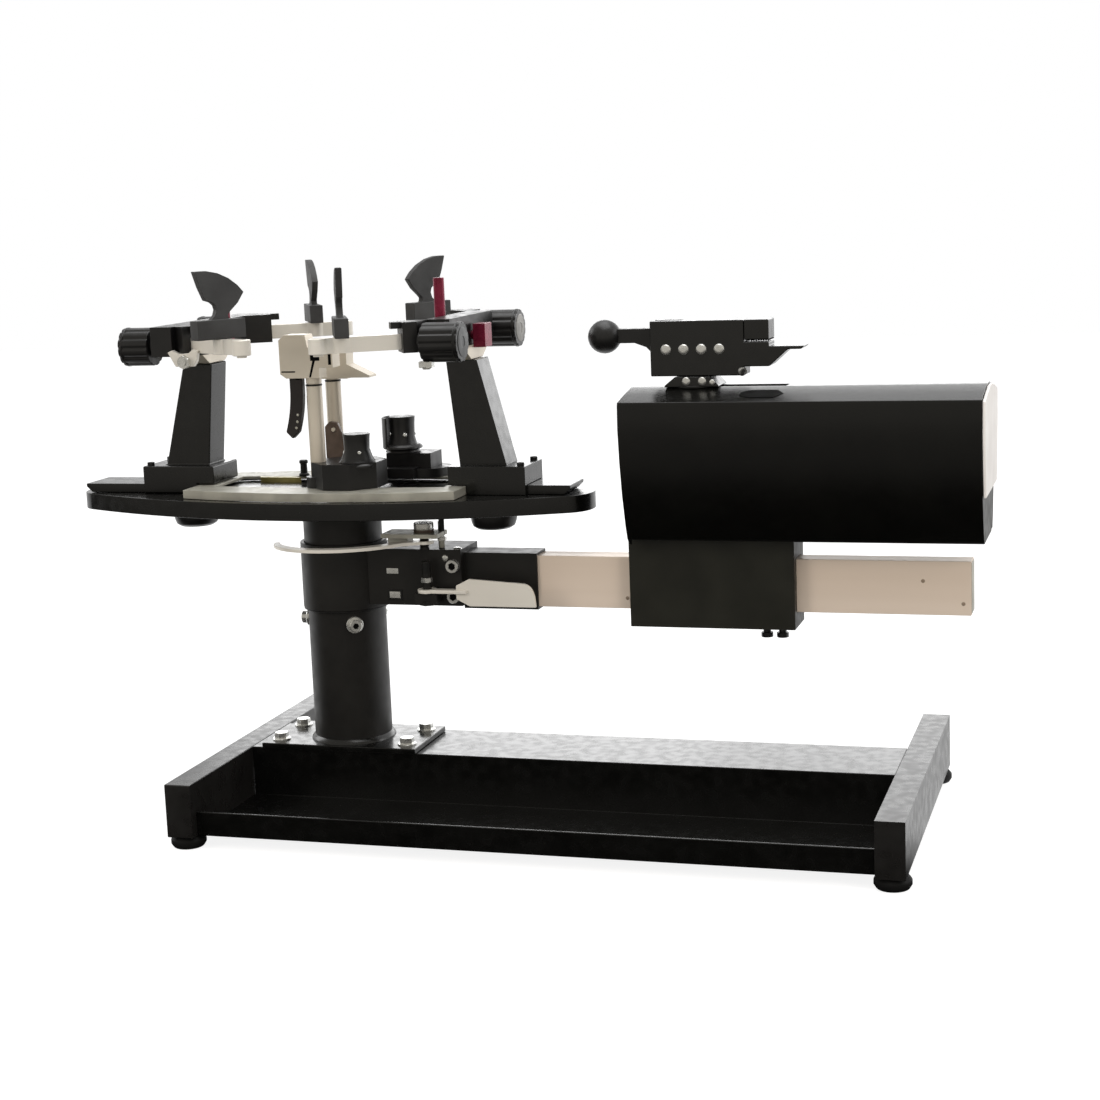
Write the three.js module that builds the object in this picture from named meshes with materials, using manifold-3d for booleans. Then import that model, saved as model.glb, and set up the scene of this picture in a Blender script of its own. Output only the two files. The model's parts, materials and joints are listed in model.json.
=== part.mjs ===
// A racket stringing machine: a steel base with a column, a turning table that holds the racket,
// two string clamps, and a tension head that slides on a rail beside the table.
// Millimetres, +Z up. The sizes below are written about the column's axis, and the finished group
// is moved so that the origin lies under the middle of the whole machine.
import * as THREE from "three";
import { mergeVertices } from "three/addons/utils/BufferGeometryUtils.js";
import Module from "manifold-3d";

const wasm = await Module();
wasm.setup();

// Driving dimensions
const baseDepth = 356;
const baseLeft = -118.5;
const baseRight = 563.8;
const crossbarWidth = 26;
const crossbarHeight = 51;
const footHeight = 12;
const columnRadius = 38;
const columnTop = 291.7;
const tableCentre = -8;
const tableHalfLength = 263;
const tableHalfWidth = 90;
const tableThick = 16;
const railHalf = 12;
const railBottom = 204.5;
const railHeight = 49;
const railRight = 603;
const headLeft = 297;
const headRight = 620;
const seat = 0.3;
const running = 0.5;
const overrun = 2;
const fineSides = 40;
const roundSides = 28;
const smallSides = 14;
const hexSides = 6;

// Geometry helpers
const up = new THREE.Matrix4().makeRotationX(Math.PI / 2);
const alongX = new THREE.Matrix4().makeBasis(
  new THREE.Vector3(0, 1, 0),
  new THREE.Vector3(0, 0, 1),
  new THREE.Vector3(1, 0, 0),
);

function solid(geometry) {
  const bare = geometry.clone();
  bare.deleteAttribute("normal");
  bare.deleteAttribute("uv");
  const merged = mergeVertices(bare);
  return new wasm.Manifold(
    new wasm.Mesh({
      numProp: 3,
      vertProperties: merged.attributes.position.array,
      triVerts: new Uint32Array(merged.index.array),
    }),
  );
}

function geometryOf(manifold) {
  const mesh = manifold.getMesh();
  const geometry = new THREE.BufferGeometry();
  geometry.setAttribute("position", new THREE.BufferAttribute(mesh.vertProperties, 3));
  geometry.setIndex(new THREE.BufferAttribute(mesh.triVerts, 1));
  return geometry;
}

function join(...geometries) {
  return geometryOf(geometries.map(solid).reduce((whole, piece) => whole.add(piece)));
}

function cut(geometry, ...tools) {
  return geometryOf(tools.map(solid).reduce((whole, tool) => whole.subtract(tool), solid(geometry)));
}

function box([x0, x1], [y0, y1], [z0, z1]) {
  const middle = [(x0 + x1) / 2, (y0 + y1) / 2, (z0 + z1) / 2];
  return new THREE.BoxGeometry(x1 - x0, y1 - y0, z1 - z0).translate(...middle);
}

function upright(x, y, radius, [z0, z1], sides = roundSides) {
  return new THREE.CylinderGeometry(radius, radius, z1 - z0, sides)
    .applyMatrix4(up)
    .translate(x, y, (z0 + z1) / 2);
}

function lyingX([x0, x1], y, z, radius, sides = roundSides) {
  return new THREE.CylinderGeometry(radius, radius, x1 - x0, sides)
    .rotateZ(Math.PI / 2)
    .translate((x0 + x1) / 2, y, z);
}

function lyingY(x, [y0, y1], z, radius, sides = roundSides) {
  return new THREE.CylinderGeometry(radius, radius, y1 - y0, sides).translate(x, (y0 + y1) / 2, z);
}

function turned(profile, sides = roundSides) {
  const points = profile.map(([r, z]) => new THREE.Vector2(r, z));
  return new THREE.LatheGeometry(points, sides).applyMatrix4(up);
}

function outline(points) {
  return new THREE.Shape(points.map(([a, b]) => new THREE.Vector2(a, b)));
}

function plate(shape, [z0, z1], curveSegments = roundSides) {
  return new THREE.ExtrudeGeometry(shape, {
    depth: z1 - z0,
    bevelEnabled: false,
    curveSegments,
  }).translate(0, 0, z0);
}

// A shape drawn in x and z, given a thickness in y.
function sidePlate(shape, [y0, y1], curveSegments = smallSides) {
  return new THREE.ExtrudeGeometry(shape, { depth: y1 - y0, bevelEnabled: false, curveSegments })
    .applyMatrix4(up)
    .translate(0, y1, 0);
}

// A shape drawn in y and z, given a length in x.
function endPlate(shape, [x0, x1], curveSegments = smallSides) {
  return new THREE.ExtrudeGeometry(shape, { depth: x1 - x0, bevelEnabled: false, curveSegments })
    .applyMatrix4(alongX)
    .translate(x0, 0, 0);
}

function turnedTo(geometry, degrees, x, y) {
  return geometry.rotateZ(THREE.MathUtils.degToRad(degrees)).translate(x, y, 0);
}

// Finishes
function finish(color, roughness, metalness) {
  return new THREE.MeshStandardMaterial({ color, roughness, metalness });
}

const blackPaint = finish(0x20201e, 0.45, 0.2);
const glossBlack = finish(0x23231f, 0.25, 0.1);
const blackPlastic = finish(0x1d1b1a, 0.5, 0);
const hookPlastic = finish(0x3a3a3a, 0.6, 0);
const rubber = finish(0x161616, 0.85, 0);
const aluminium = finish(0xcdc3b6, 0.35, 0.9);
const polishedSteel = finish(0xb9b5a8, 0.25, 1);
const castSilver = finish(0xb3a68f, 0.35, 0.9);
const redAnodised = finish(0x7a2138, 0.3, 0.6);
const palePanel = finish(0xcfc9c4, 0.5, 0);

const machine = new THREE.Group();
const column = new THREE.Group();
machine.add(column);
column.position.x = (tableHalfLength - tableCentre - headRight) / 2;

function add(group, name, geometry, material) {
  const shown = geometry.index ? geometry.toNonIndexed() : geometry;
  shown.computeVertexNormals();
  const mesh = new THREE.Mesh(shown, material);
  mesh.name = name;
  group.add(mesh);
  return mesh;
}

// Base
const crossbarBottom = footHeight + seat;
const crossbarTop = crossbarBottom + crossbarHeight;
const crossbarWall = 2.5;
const drainRadius = 5;
const footTopRadius = 13;
const footRadius = 16.5;
const footSoleRadius = 14;
const footLip = 4;
const footInset = 17.5;
const panTop = crossbarTop;
const panWall = 2.5;
const beamFront = -40.5;
const beamBack = 50;
const trayFront = -168;
const trayLip = 23;
const panBottom = crossbarBottom + seat;

function crossbar(x0) {
  const across = [x0, x0 + crossbarWidth];
  const along = [-baseDepth / 2, baseDepth / 2];
  const body = box(across, along, [crossbarBottom, crossbarTop]);
  const hollow = box(
    [across[0] + crossbarWall, across[1] - crossbarWall],
    [along[0] + crossbarWall, along[1] - crossbarWall],
    [crossbarBottom + crossbarWall, crossbarTop - crossbarWall],
  );
  const drain = upright(
    x0 + crossbarWidth / 2,
    0,
    drainRadius,
    [crossbarBottom - overrun, crossbarBottom + crossbarWall + overrun],
    smallSides,
  );
  return cut(body, hollow, drain);
}

function foot() {
  return turned([
    [0, 0],
    [footSoleRadius, 0],
    [footRadius, footLip],
    [footRadius, footHeight - footLip],
    [footTopRadius, footHeight],
    [0, footHeight],
  ]);
}

// One bent sheet: the tray's lip and floor, and the beam's front, top and back.
function basePan() {
  const section = outline([
    [trayFront, panBottom],
    [beamFront + panWall, panBottom],
    [beamFront + panWall, panTop - panWall],
    [beamBack - panWall, panTop - panWall],
    [beamBack - panWall, panBottom],
    [beamBack, panBottom],
    [beamBack, panTop],
    [beamFront, panTop],
    [beamFront, panBottom + panWall],
    [trayFront + panWall, panBottom + panWall],
    [trayFront + panWall, panBottom + trayLip],
    [trayFront, panBottom + trayLip],
  ]);
  return endPlate(section, [baseLeft + crossbarWidth + seat, baseRight - crossbarWidth - seat]);
}

add(column, "left_crossbar", crossbar(baseLeft), blackPaint);
add(column, "right_crossbar", crossbar(baseRight - crossbarWidth), blackPaint);
add(column, "base_pan", basePan(), blackPaint);
for (const [side, x0] of [["left", baseLeft], ["right", baseRight - crossbarWidth]]) {
  for (const [end, sign] of [["front", -1], ["rear", 1]]) {
    const rubberFoot = add(column, `foot_${end}_${side}`, foot(), rubber);
    rubberFoot.position.set(x0 + crossbarWidth / 2, sign * (baseDepth / 2 - footInset), 0);
  }
}

// Column
const flangeBottom = panTop + seat;
const flangeThick = 5;
const flangeHalfWidth = 80;
const flangeHalfDepth = 44;
const flangeBoltX = 66;
const flangeBoltY = 27;
const flangeBoltHead = 7;
const flangeBoltWasher = 9;
const washerThick = 1.5;
const flangeBoltHeight = 6;
const columnWall = 3;
const columnBottom = flangeBottom + flangeThick + seat;
const columnScrewDrop = 17.5;
const columnScrewZ = railBottom - columnScrewDrop;
const columnScrewRadius = 8;
const columnScrewProud = 8;
const columnScrewBearings = [-58, -178, 62];
const bearingDrop = 6.7;
const bearingLength = 45;
const bearingTop = columnTop - bearingDrop;
const bearingBottom = bearingTop - bearingLength;
const shaftRadius = 12;

function hexHead(x, y, radius, [z0, z1]) {
  return upright(x, y, radius, [z0, z1], hexSides);
}

function columnPlate() {
  const top = flangeBottom + flangeThick;
  const pieces = [
    box([-flangeHalfWidth, flangeHalfWidth], [-flangeHalfDepth, flangeHalfDepth], [flangeBottom, top]),
  ];
  for (const x of [-flangeBoltX, flangeBoltX]) {
    for (const y of [-flangeBoltY, flangeBoltY]) {
      pieces.push(upright(x, y, flangeBoltWasher, [top - washerThick, top + washerThick], smallSides));
      pieces.push(hexHead(x, y, flangeBoltHead, [top, top + washerThick + flangeBoltHeight]));
    }
  }
  return join(...pieces);
}

function columnTube() {
  const outer = upright(0, 0, columnRadius, [columnBottom, columnTop], fineSides);
  const bore = upright(
    0,
    0,
    columnRadius - columnWall,
    [columnBottom - overrun, columnTop + overrun],
    fineSides,
  );
  const screws = columnScrewBearings.map((bearing) =>
    turnedTo(
      lyingX(
        [columnRadius - columnWall / 2, columnRadius + columnScrewProud],
        0,
        columnScrewZ,
        columnScrewRadius,
        smallSides,
      ),
      bearing,
      0,
      0,
    ),
  );
  return join(cut(outer, bore), ...screws);
}

function bearingBlock() {
  const outer = upright(0, 0, columnRadius - columnWall - seat, [bearingBottom, bearingTop], fineSides);
  const bore = upright(
    0,
    0,
    shaftRadius + running,
    [bearingBottom - overrun, bearingTop + overrun],
    fineSides,
  );
  return cut(outer, bore);
}

add(column, "column_plate", columnPlate(), blackPaint);
add(column, "column_tube", columnTube(), blackPaint);
add(column, "bearing_block", bearingBlock(), polishedSteel);

// Rail and its bracket
const collarWall = 3.7;
const collarInner = columnRadius + seat;
const collarOuter = collarInner + collarWall;
const railTop = railBottom + railHeight;
const bracketRight = 129;
const bracketHalfDepth = 25;
const bracketRise = 1.5;
const bracketRoof = 6.8;
const bracketBottom = railBottom + bracketRise;
const bracketTop = railTop + bracketRoof;
const collarBelow = 5;
const collarAbove = 4.7;
const collarBottom = bracketBottom - collarBelow;
const collarTop = bracketTop + collarAbove;
const sleeveLength = 72;
const sleeveRight = bracketRight + sleeveLength;
const sleeveWall = 2.2;
const railWall = 3;
const railLeft = 52;
const bracketBoltInset = 7.5;
const bracketBoltX = bracketRight - bracketBoltInset;
const bracketBoltShares = [0.18, 0.72];
const bracketBoltRadius = 6.5;
const bracketBoltProud = 4;
const bracketBoltDeep = 4;

const lockStudInset = 31;
const lockStudStandoff = 11;
const lockStudX = bracketRight - lockStudInset;
const lockStudY = -bracketHalfDepth - lockStudStandoff;
const lockStudRadius = 4;
const lockStudLength = 42;
const lockNutRadius = 8;
const lockNutBelow = 2;
const lockHubRadius = 9;
const lockThick = 3.5;
const lockLugHalf = 11;
const lockLugHeight = 9.7;
const lockLugRise = 5;
const lockLugBottom = bracketBottom + lockLugRise;
const lockLugTop = lockLugBottom + lockLugHeight;
const lockNutBottom = lockLugBottom - lockNutBelow;
const lockStudTop = lockNutBottom + lockStudLength;
const lockBottom = lockLugTop + seat;
const lockPaddleReach = 30;
const lockPaddleLength = 78;
const lockPaddleDrop = 12;
const lockPaddleHeight = 26;
const lockPaddleStep = 2;
const lockPaddleX = [lockStudX + lockPaddleReach, lockStudX + lockPaddleReach + lockPaddleLength];
const lockPaddleZ = [lockBottom - lockPaddleDrop, lockBottom - lockPaddleDrop + lockPaddleHeight];
const lockPaddleY = lockStudY - lockPaddleStep;
const lockEarHalf = 11;

function railCollar() {
  const outer = upright(0, 0, collarOuter, [collarBottom, collarTop], fineSides);
  const bore = upright(0, 0, collarInner, [collarBottom - overrun, collarTop + overrun], fineSides);
  return cut(outer, bore);
}

function railBracket() {
  const block = box([0, bracketRight], [-bracketHalfDepth, bracketHalfDepth], [bracketBottom, bracketTop]);
  const tight = railHalf + seat;
  const sleeve = box(
    [bracketRight - overrun, sleeveRight],
    [-tight - sleeveWall, tight + sleeveWall],
    [railBottom - seat - sleeveWall, railTop + seat + sleeveWall],
  );
  const passage = box(
    [railLeft - running, sleeveRight + overrun],
    [-tight, tight],
    [railBottom - seat, railTop + seat],
  );
  const round = upright(
    0,
    0,
    collarOuter + seat,
    [bracketBottom - overrun, bracketTop + overrun],
    fineSides,
  );
  const bolts = bracketBoltShares.map((share) =>
    lyingY(
      bracketBoltX,
      [-bracketHalfDepth - bracketBoltProud, -bracketHalfDepth + bracketBoltDeep],
      bracketBottom + share * (bracketTop - bracketBottom),
      bracketBoltRadius,
      smallSides,
    ),
  );
  const lug = box(
    [lockStudX - lockLugHalf, lockStudX + lockLugHalf],
    [lockStudY - lockStudRadius - washerThick, -bracketHalfDepth + overrun],
    [lockLugBottom, lockLugTop],
  );
  const stud = upright(lockStudX, lockStudY, lockStudRadius, [lockNutBottom, lockStudTop], smallSides);
  const nut = hexHead(lockStudX, lockStudY, lockNutRadius, [lockNutBottom, lockLugBottom + overrun]);
  return join(cut(join(block, sleeve), passage, round), ...bolts, lug, stud, nut);
}

function rail() {
  const bar = box([railLeft, railRight], [-railHalf, railHalf], [railBottom, railTop]);
  const hollow = box(
    [railLeft - overrun, railRight - railWall],
    [-railHalf + railWall, railHalf - railWall],
    [railBottom + railWall, railTop - railWall],
  );
  return cut(bar, hollow);
}

add(column, "rail_collar", railCollar(), blackPaint);
add(column, "rail_bracket", railBracket(), blackPaint);
add(column, "rail", rail(), aluminium);

// Table brake on the bracket
const brakeStudInset = 35;
const brakeStudStep = 2;
const brakeStudX = bracketRight - brakeStudInset;
const brakeStudY = -bracketHalfDepth - brakeStudStep;
const brakeStudRadius = 4;
const brakePlateReach = [38, 18];
const brakePlateX = [brakeStudX - brakePlateReach[0], brakeStudX + brakePlateReach[1]];
const brakePlateHalfDepth = 15;
const brakePlateRise = 13.2;
const brakePlateThick = 4;
const brakePlateZ = [bracketTop + brakePlateRise, bracketTop + brakePlateRise + brakePlateThick];
const brakeNutRadius = 9.5;
const brakeNutRise = 8.5;
const brakeNutTop = brakePlateZ[1] + brakeNutRise;
const brakeBlockInset = 1;
const brakeBlockLength = 20;
const brakeBlockRise = 2.7;
const brakeBlockBottom = bracketTop + brakeBlockRise;
const brakePinInset = 5;
const brakePinRadius = 3;
const leverThick = 3;
const leverRise = 6.1;
const leverBottom = bracketTop + leverRise;
const leverWidth = 11;
const leverHubRadius = 9;
const leverStartGap = 46;
const leverTipGap = 30;
const leverBow = columnRadius + leverStartGap;
const leverTipBow = columnRadius + leverTipGap;
const leverStartBearing = -30;
const leverEndBearing = -136;
const leverSteps = 14;
const leverBowPower = 4;
const leverTaperPower = 6;
const leverTaperShare = 0.5;

function brakePlate() {
  const y0 = brakeStudY - brakePlateHalfDepth;
  const y1 = brakeStudY + brakePlateHalfDepth;
  const top = bracketTop + seat;
  const brakeBlockLeft = brakePlateX[0] + brakeBlockInset;
  const brakeBlockX = [brakeBlockLeft, brakeBlockLeft + brakeBlockLength];
  const brakePinX = brakePlateX[1] - brakePinInset;
  return join(
    box(brakePlateX, [y0, y1], brakePlateZ),
    box(brakeBlockX, [brakeStudY, y1], [brakeBlockBottom, brakePlateZ[1]]),
    upright(brakeStudX, brakeStudY, brakeStudRadius, [top, brakeNutTop], smallSides),
    hexHead(brakeStudX, brakeStudY, brakeNutRadius, [brakePlateZ[1] - washerThick, brakeNutTop - overrun]),
    upright(brakePinX, y1 - brakePinRadius, brakePinRadius, [top, brakeNutTop], smallSides),
  );
}

// A flat strip that runs from its hub on the stud round the front of the column.
function brakeLever() {
  const inner = [];
  const outer = [];
  for (let i = 0; i <= leverSteps; i += 1) {
    const share = i / leverSteps;
    const bearing = THREE.MathUtils.degToRad(
      leverStartBearing + share * (leverEndBearing - leverStartBearing),
    );
    const bow = leverBow - (leverBow - leverTipBow) * share ** leverBowPower;
    const half = (leverWidth / 2) * (1 - leverTaperShare * share ** leverTaperPower);
    inner.push([Math.cos(bearing) * (bow - half), Math.sin(bearing) * (bow - half)]);
    outer.push([Math.cos(bearing) * (bow + half), Math.sin(bearing) * (bow + half)]);
  }
  const range = [leverBottom, leverBottom + leverThick];
  const strip = plate(outline([...outer.reverse(), ...inner]), range);
  const hub = upright(brakeStudX, brakeStudY, leverHubRadius, range, roundSides);
  const link = plate(
    outline([
      [brakeStudX, brakeStudY - leverHubRadius],
      [brakeStudX, brakeStudY + leverHubRadius],
      inner[0],
      outer[outer.length - 1],
    ]),
    range,
  );
  const bore = upright(
    brakeStudX,
    brakeStudY,
    brakeStudRadius + running,
    [range[0] - overrun, range[1] + overrun],
    smallSides,
  );
  return cut(join(strip, hub, link), bore);
}

// Rail lock lever in front of the bracket
function lockLever() {
  const range = [lockBottom, lockBottom + lockThick];
  const hub = upright(lockStudX, lockStudY, lockHubRadius, range, roundSides);
  const arm = box(
    [lockStudX, lockPaddleX[0] + lockEarHalf],
    [lockPaddleY - lockHubRadius / 2, lockPaddleY + lockHubRadius / 2],
    range,
  );
  const paddle = new THREE.Shape();
  const [x0, x1] = lockPaddleX;
  const [z0, z1] = lockPaddleZ;
  const corner = (z1 - z0) / 2;
  paddle.moveTo(x0, z1 - corner / 2);
  paddle.lineTo(x0 + corner, z1);
  paddle.lineTo(x1 - corner, z1 - lockThick);
  paddle.quadraticCurveTo(x1, z1 - lockThick, x1, z0);
  paddle.lineTo(x0 + corner, z0);
  paddle.lineTo(x0, z0 + corner / 2);
  const blade = sidePlate(paddle, [lockPaddleY - lockThick / 2, lockPaddleY + lockThick / 2], smallSides);
  const bore = upright(
    lockStudX,
    lockStudY,
    lockStudRadius + running,
    [range[0] - overrun, range[1] + overrun],
    smallSides,
  );
  return cut(join(hub, arm, blade), bore);
}

add(column, "brake_plate", brakePlate(), castSilver);
add(column, "brake_lever", brakeLever(), polishedSteel);
add(column, "lock_lever", lockLever(), polishedSteel);

// Turning table
const flangeRadius = 37;
const flangeGap = 0.3;
const flangeHeight = 4.7;
const spindleRise = 2;
const spindleBottom = bearingBottom + spindleRise;
const tableBottom = columnTop + flangeHeight + 2 * flangeGap;
const tableTop = tableBottom + tableThick;
const tableEndInset = 17;
const tableEndHalf = 30;
const tableSteps = 12;
const barBottom = tableTop + seat;
const barThick = 8.7;
const barTop = barBottom + barThick;
const barHalfDepth = 23;
const barStep = 5;
const barStepTop = barTop - barStep;
const barInsets = [8, 16];
const barSpan = [
  tableCentre - tableHalfLength + barInsets[0],
  tableCentre + tableHalfLength - barInsets[1],
];
const barEdge = 3;
const barEndZ = barTop - barEdge;
const barEndChamfer = 6;
const glideHalf = 138;
const glideMiddleDepth = 80;
const glideEndDepth = 61;
const glideThick = 8.2;
const glideTop = barBottom + glideThick;
const glideSheet = 3;
const windowEnd = 20;
const bandMiddleDepth = 40;
const bandEndDepth = 28;
const windowHalf = glideHalf - windowEnd;
const windowMiddleDepth = glideMiddleDepth - bandMiddleDepth;
const windowEndDepth = glideEndDepth - bandEndDepth;
const studRadius = 4;
const studInset = 155.6;
const holderTravel = 35;
const studRise = 7.7;
const studTop = barTop + studRise;
const lockKnobRadius = 22.5;
const lockKnobHeight = 18.7;
const lockKnobTop = tableBottom - seat;
const lockKnobBottom = lockKnobTop - lockKnobHeight;
const lockKnobShares = [
  [0.71, 0],
  [0.89, 0.13],
  [0.96, 0.37],
  [1, 0.7],
  [0.93, 1],
];

function slot([x0, x1], y, radius, range) {
  return join(
    box([x0, x1], [y - radius, y + radius], range),
    upright(x0, y, radius, range, smallSides),
    upright(x1, y, radius, range, smallSides),
  );
}

// Points of a long arc over the span, from one end to the other.
function bow(halfLength, middle, end, steps) {
  const points = [];
  for (let i = 0; i <= steps; i += 1) {
    const share = (2 * i) / steps - 1;
    points.push([share * halfLength, middle + (end - middle) * share ** 2]);
  }
  return points;
}

function lens(halfLength, middle, end) {
  const back = bow(halfLength, middle, end, 2 * tableSteps);
  const front = back.map(([x, y]) => [-x, -y]);
  return [...back, ...front];
}

function studSlots(range) {
  return [-1, 1].map((side) => {
    const near = studInset - running;
    const far = studInset + holderTravel + running;
    const span = side > 0 ? [near, far] : [-far, -near];
    return slot(span, 0, studRadius + running, range);
  });
}

function turntablePlate() {
  const straight = tableHalfLength - tableEndInset;
  const shape = new THREE.Shape();
  const back = bow(straight, tableHalfWidth, tableEndHalf, 2 * tableSteps);
  back.forEach(([x, y], i) => (i ? shape.lineTo(x, y) : shape.moveTo(x, y)));
  shape.quadraticCurveTo(tableHalfLength, tableEndHalf - tableEndInset / 2, tableHalfLength, 0);
  shape.quadraticCurveTo(tableHalfLength, -tableEndHalf + tableEndInset / 2, straight, -tableEndHalf);
  back.forEach(([x, y]) => shape.lineTo(-x, -y));
  shape.quadraticCurveTo(-tableHalfLength, -tableEndHalf + tableEndInset / 2, -tableHalfLength, 0);
  shape.quadraticCurveTo(-tableHalfLength, tableEndHalf - tableEndInset / 2, -straight, tableEndHalf);
  const range = [tableBottom, tableTop];
  const through = [tableBottom - overrun, tableTop + overrun];
  const blank = plate(shape, range, smallSides).translate(tableCentre, 0, 0);
  return cut(blank, ...studSlots(through));
}

function slideBar() {
  const [left, right] = barSpan;
  const section = outline([
    [left, barTop],
    [left, barEndZ],
    [left + barEndChamfer, barBottom],
    [right - barEndChamfer, barBottom],
    [right, barEndZ],
    [right, barTop],
  ]);
  const ends = sidePlate(section, [-barHalfDepth, barHalfDepth]);
  const step = box(
    [-glideHalf - seat, glideHalf + seat],
    [-barHalfDepth - overrun, barHalfDepth + overrun],
    [barStepTop, barTop + overrun],
  );
  return cut(ends, step, ...studSlots([barBottom - overrun, barTop + overrun]));
}

function glidePlate() {
  const range = [barBottom, glideTop];
  const outer = plate(outline(lens(glideHalf, glideMiddleDepth, glideEndDepth)), range);
  const hollow = plate(
    outline(
      lens(glideHalf - glideSheet, glideMiddleDepth - glideSheet, glideEndDepth - glideSheet),
    ),
    [barBottom - overrun, glideTop - glideSheet],
  );
  const passage = box(
    [-glideHalf - overrun, glideHalf + overrun],
    [-barHalfDepth - seat, barHalfDepth + seat],
    [barBottom - overrun, barStepTop + seat],
  );
  const window = plate(
    outline(lens(windowHalf, windowMiddleDepth, windowEndDepth)),
    [barBottom - overrun, glideTop + overrun],
  );
  return cut(outer, hollow, passage, window);
}

function spindle() {
  return join(
    upright(0, 0, flangeRadius, [columnTop + flangeGap, tableBottom - flangeGap], fineSides),
    upright(0, 0, shaftRadius, [spindleBottom, tableBottom - 2 * flangeGap], fineSides),
  );
}

const table = new THREE.Group();
column.add(table);
add(table, "spindle", spindle(), polishedSteel);
add(table, "turntable_plate", turntablePlate(), blackPaint);
add(table, "slide_bar", slideBar(), blackPaint);
add(table, "glide_plate", glidePlate(), polishedSteel);

// Racket holders. Every piece is written for the rear right corner, with x measured from the
// holder's stud, and mirrored to the other corners.
const footX = [-34.6, 41.4];
const footHalfDepth = 28;
const footRise = 18;
const footTop = barTop + footRise;
const postBottomX = [-25.6, 20.9];
const postTopX = [-35.1, -4.6];
const postHeight = 99;
const postTop = footTop + postHeight;
const postHalfDepth = 17;
const capX = [-33.6, -9.6];
const capHeight = 13;
const capTop = postTop + capHeight;
const capTopHalf = 34;
const beamX = [-37.6, -13.6];
const beamHalf = 62;
const armBottom = capTop + seat;
const armFloor = 2.7;
const silverHeight = 14;
const armRoof = 11;
const silverBottom = armBottom + armFloor;
const silverTop = silverBottom + silverHeight;
const armTop = silverTop + armRoof;
const armX = -27.6;
const armY = 69;
const armBearing = 149.7;
const armBodySpan = [-12, 30];
const armBodyHalf = 14;
const armFaceX = -35.1;
const cornerBlockY = [60, 97];
const barStart = 10;
const barLength = 101;
const barHalf = 5;
const prongLength = 9;
const prongHalf = 5;
const prongHeight = 6;
const leftHookAt = 75;
const rightHookAt = 84;
const hookBossRadius = 9;
const leftHookBearing = 60;
const rightHookBearing = 65;
const hookBlockSpan = [-22, 30];
const hookBlockHalf = 6.5;
const hookBlockHeight = 17.7;
const hookBlockTop = silverTop + seat + hookBlockHeight;
const hookHalf = 3;
const hookPinRadius = 4;
const hookPinDeep = 9;
const hookWidth = 52.5;
const hookHeight = 44.5;
const hookShares = [
  [-0.133, 0],
  [-0.114, 0.09],
  [-0.171, 0.157],
  [-0.335, 0.315],
  [-0.47, 0.528],
  [-0.349, 0.681],
  [-0.17, 0.831],
  [0.05, 0.944],
  [0.286, 1],
  [0.53, 1],
  [0.438, 0.674],
  [0.333, 0.404],
  [0.213, 0.36],
  [0.141, 0.292],
  [0.118, 0.198],
  [0.152, 0.09],
  [0.242, 0],
];
const knobRise = 8.7;
const knobZ = armBottom + knobRise;
const knobRadius = 18;
const knobStemRadius = 4;
const knobWaistRadius = 10.5;
const knobWaistLength = 4;
const knobFlutes = 12;
const fluteDeep = 1.2;
const pinX = -44.6;
const pinRadius = 5.2;
const pinHeight = 54;
const pinFootHalf = 6;
const pinBlockX = [-9.6, 2.4];
const pinBlockHalf = 10;
const pinBlockHalfHeight = 11;

function mirrored(geometry, signX, signY) {
  let whole = solid(geometry);
  if (signX < 0) {
    whole = whole.mirror([1, 0, 0]);
  }
  if (signY < 0) {
    whole = whole.mirror([0, 1, 0]);
  }
  return geometryOf(whole);
}

function holderPost() {
  const block = box(
    footX,
    [-footHalfDepth, footHalfDepth],
    [tableTop + seat, footTop],
  );
  const channel = box(
    [footX[0] - overrun, footX[1] + overrun],
    [-barHalfDepth - seat, barHalfDepth + seat],
    [tableTop - overrun, barTop + seat],
  );
  const overGlide = box(
    [footX[0] - overrun, glideHalf - studInset + 2 * running],
    [-footHalfDepth - overrun, footHalfDepth + overrun],
    [tableTop - overrun, barTop + seat],
  );
  const post = sidePlate(
    outline([
      [postBottomX[0], footTop - overrun],
      [postBottomX[1], footTop - overrun],
      [postTopX[1], postTop],
      [postTopX[0], postTop],
    ]),
    [-postHalfDepth, postHalfDepth],
  );
  const bore = upright(
    0,
    0,
    studRadius + running,
    [tableTop - overrun, studTop + seat],
    smallSides,
  );
  return cut(join(block, post), channel, overGlide, bore);
}

function postCap() {
  const shape = outline([
    [-postHalfDepth, postTop + seat],
    [postHalfDepth, postTop + seat],
    [capTopHalf, capTop - overrun],
    [capTopHalf, capTop],
    [-capTopHalf, capTop],
    [-capTopHalf, capTop - overrun],
  ]);
  return endPlate(shape, capX);
}

// The left knobs stand out from corner blocks, the right ones start where the corners are cut back.
const knobPlaces = {
  left: { x: -12.6, y: 79, length: 34, stem: 15 },
  right: { x: -33.6, y: 86, length: 40, stem: 5 },
};

function stemBore(side) {
  const { x, y, stem } = knobPlaces[side];
  return lyingX(
    [x - stem - running, x + running],
    y,
    knobZ,
    knobStemRadius + running,
    smallSides,
  );
}

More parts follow.
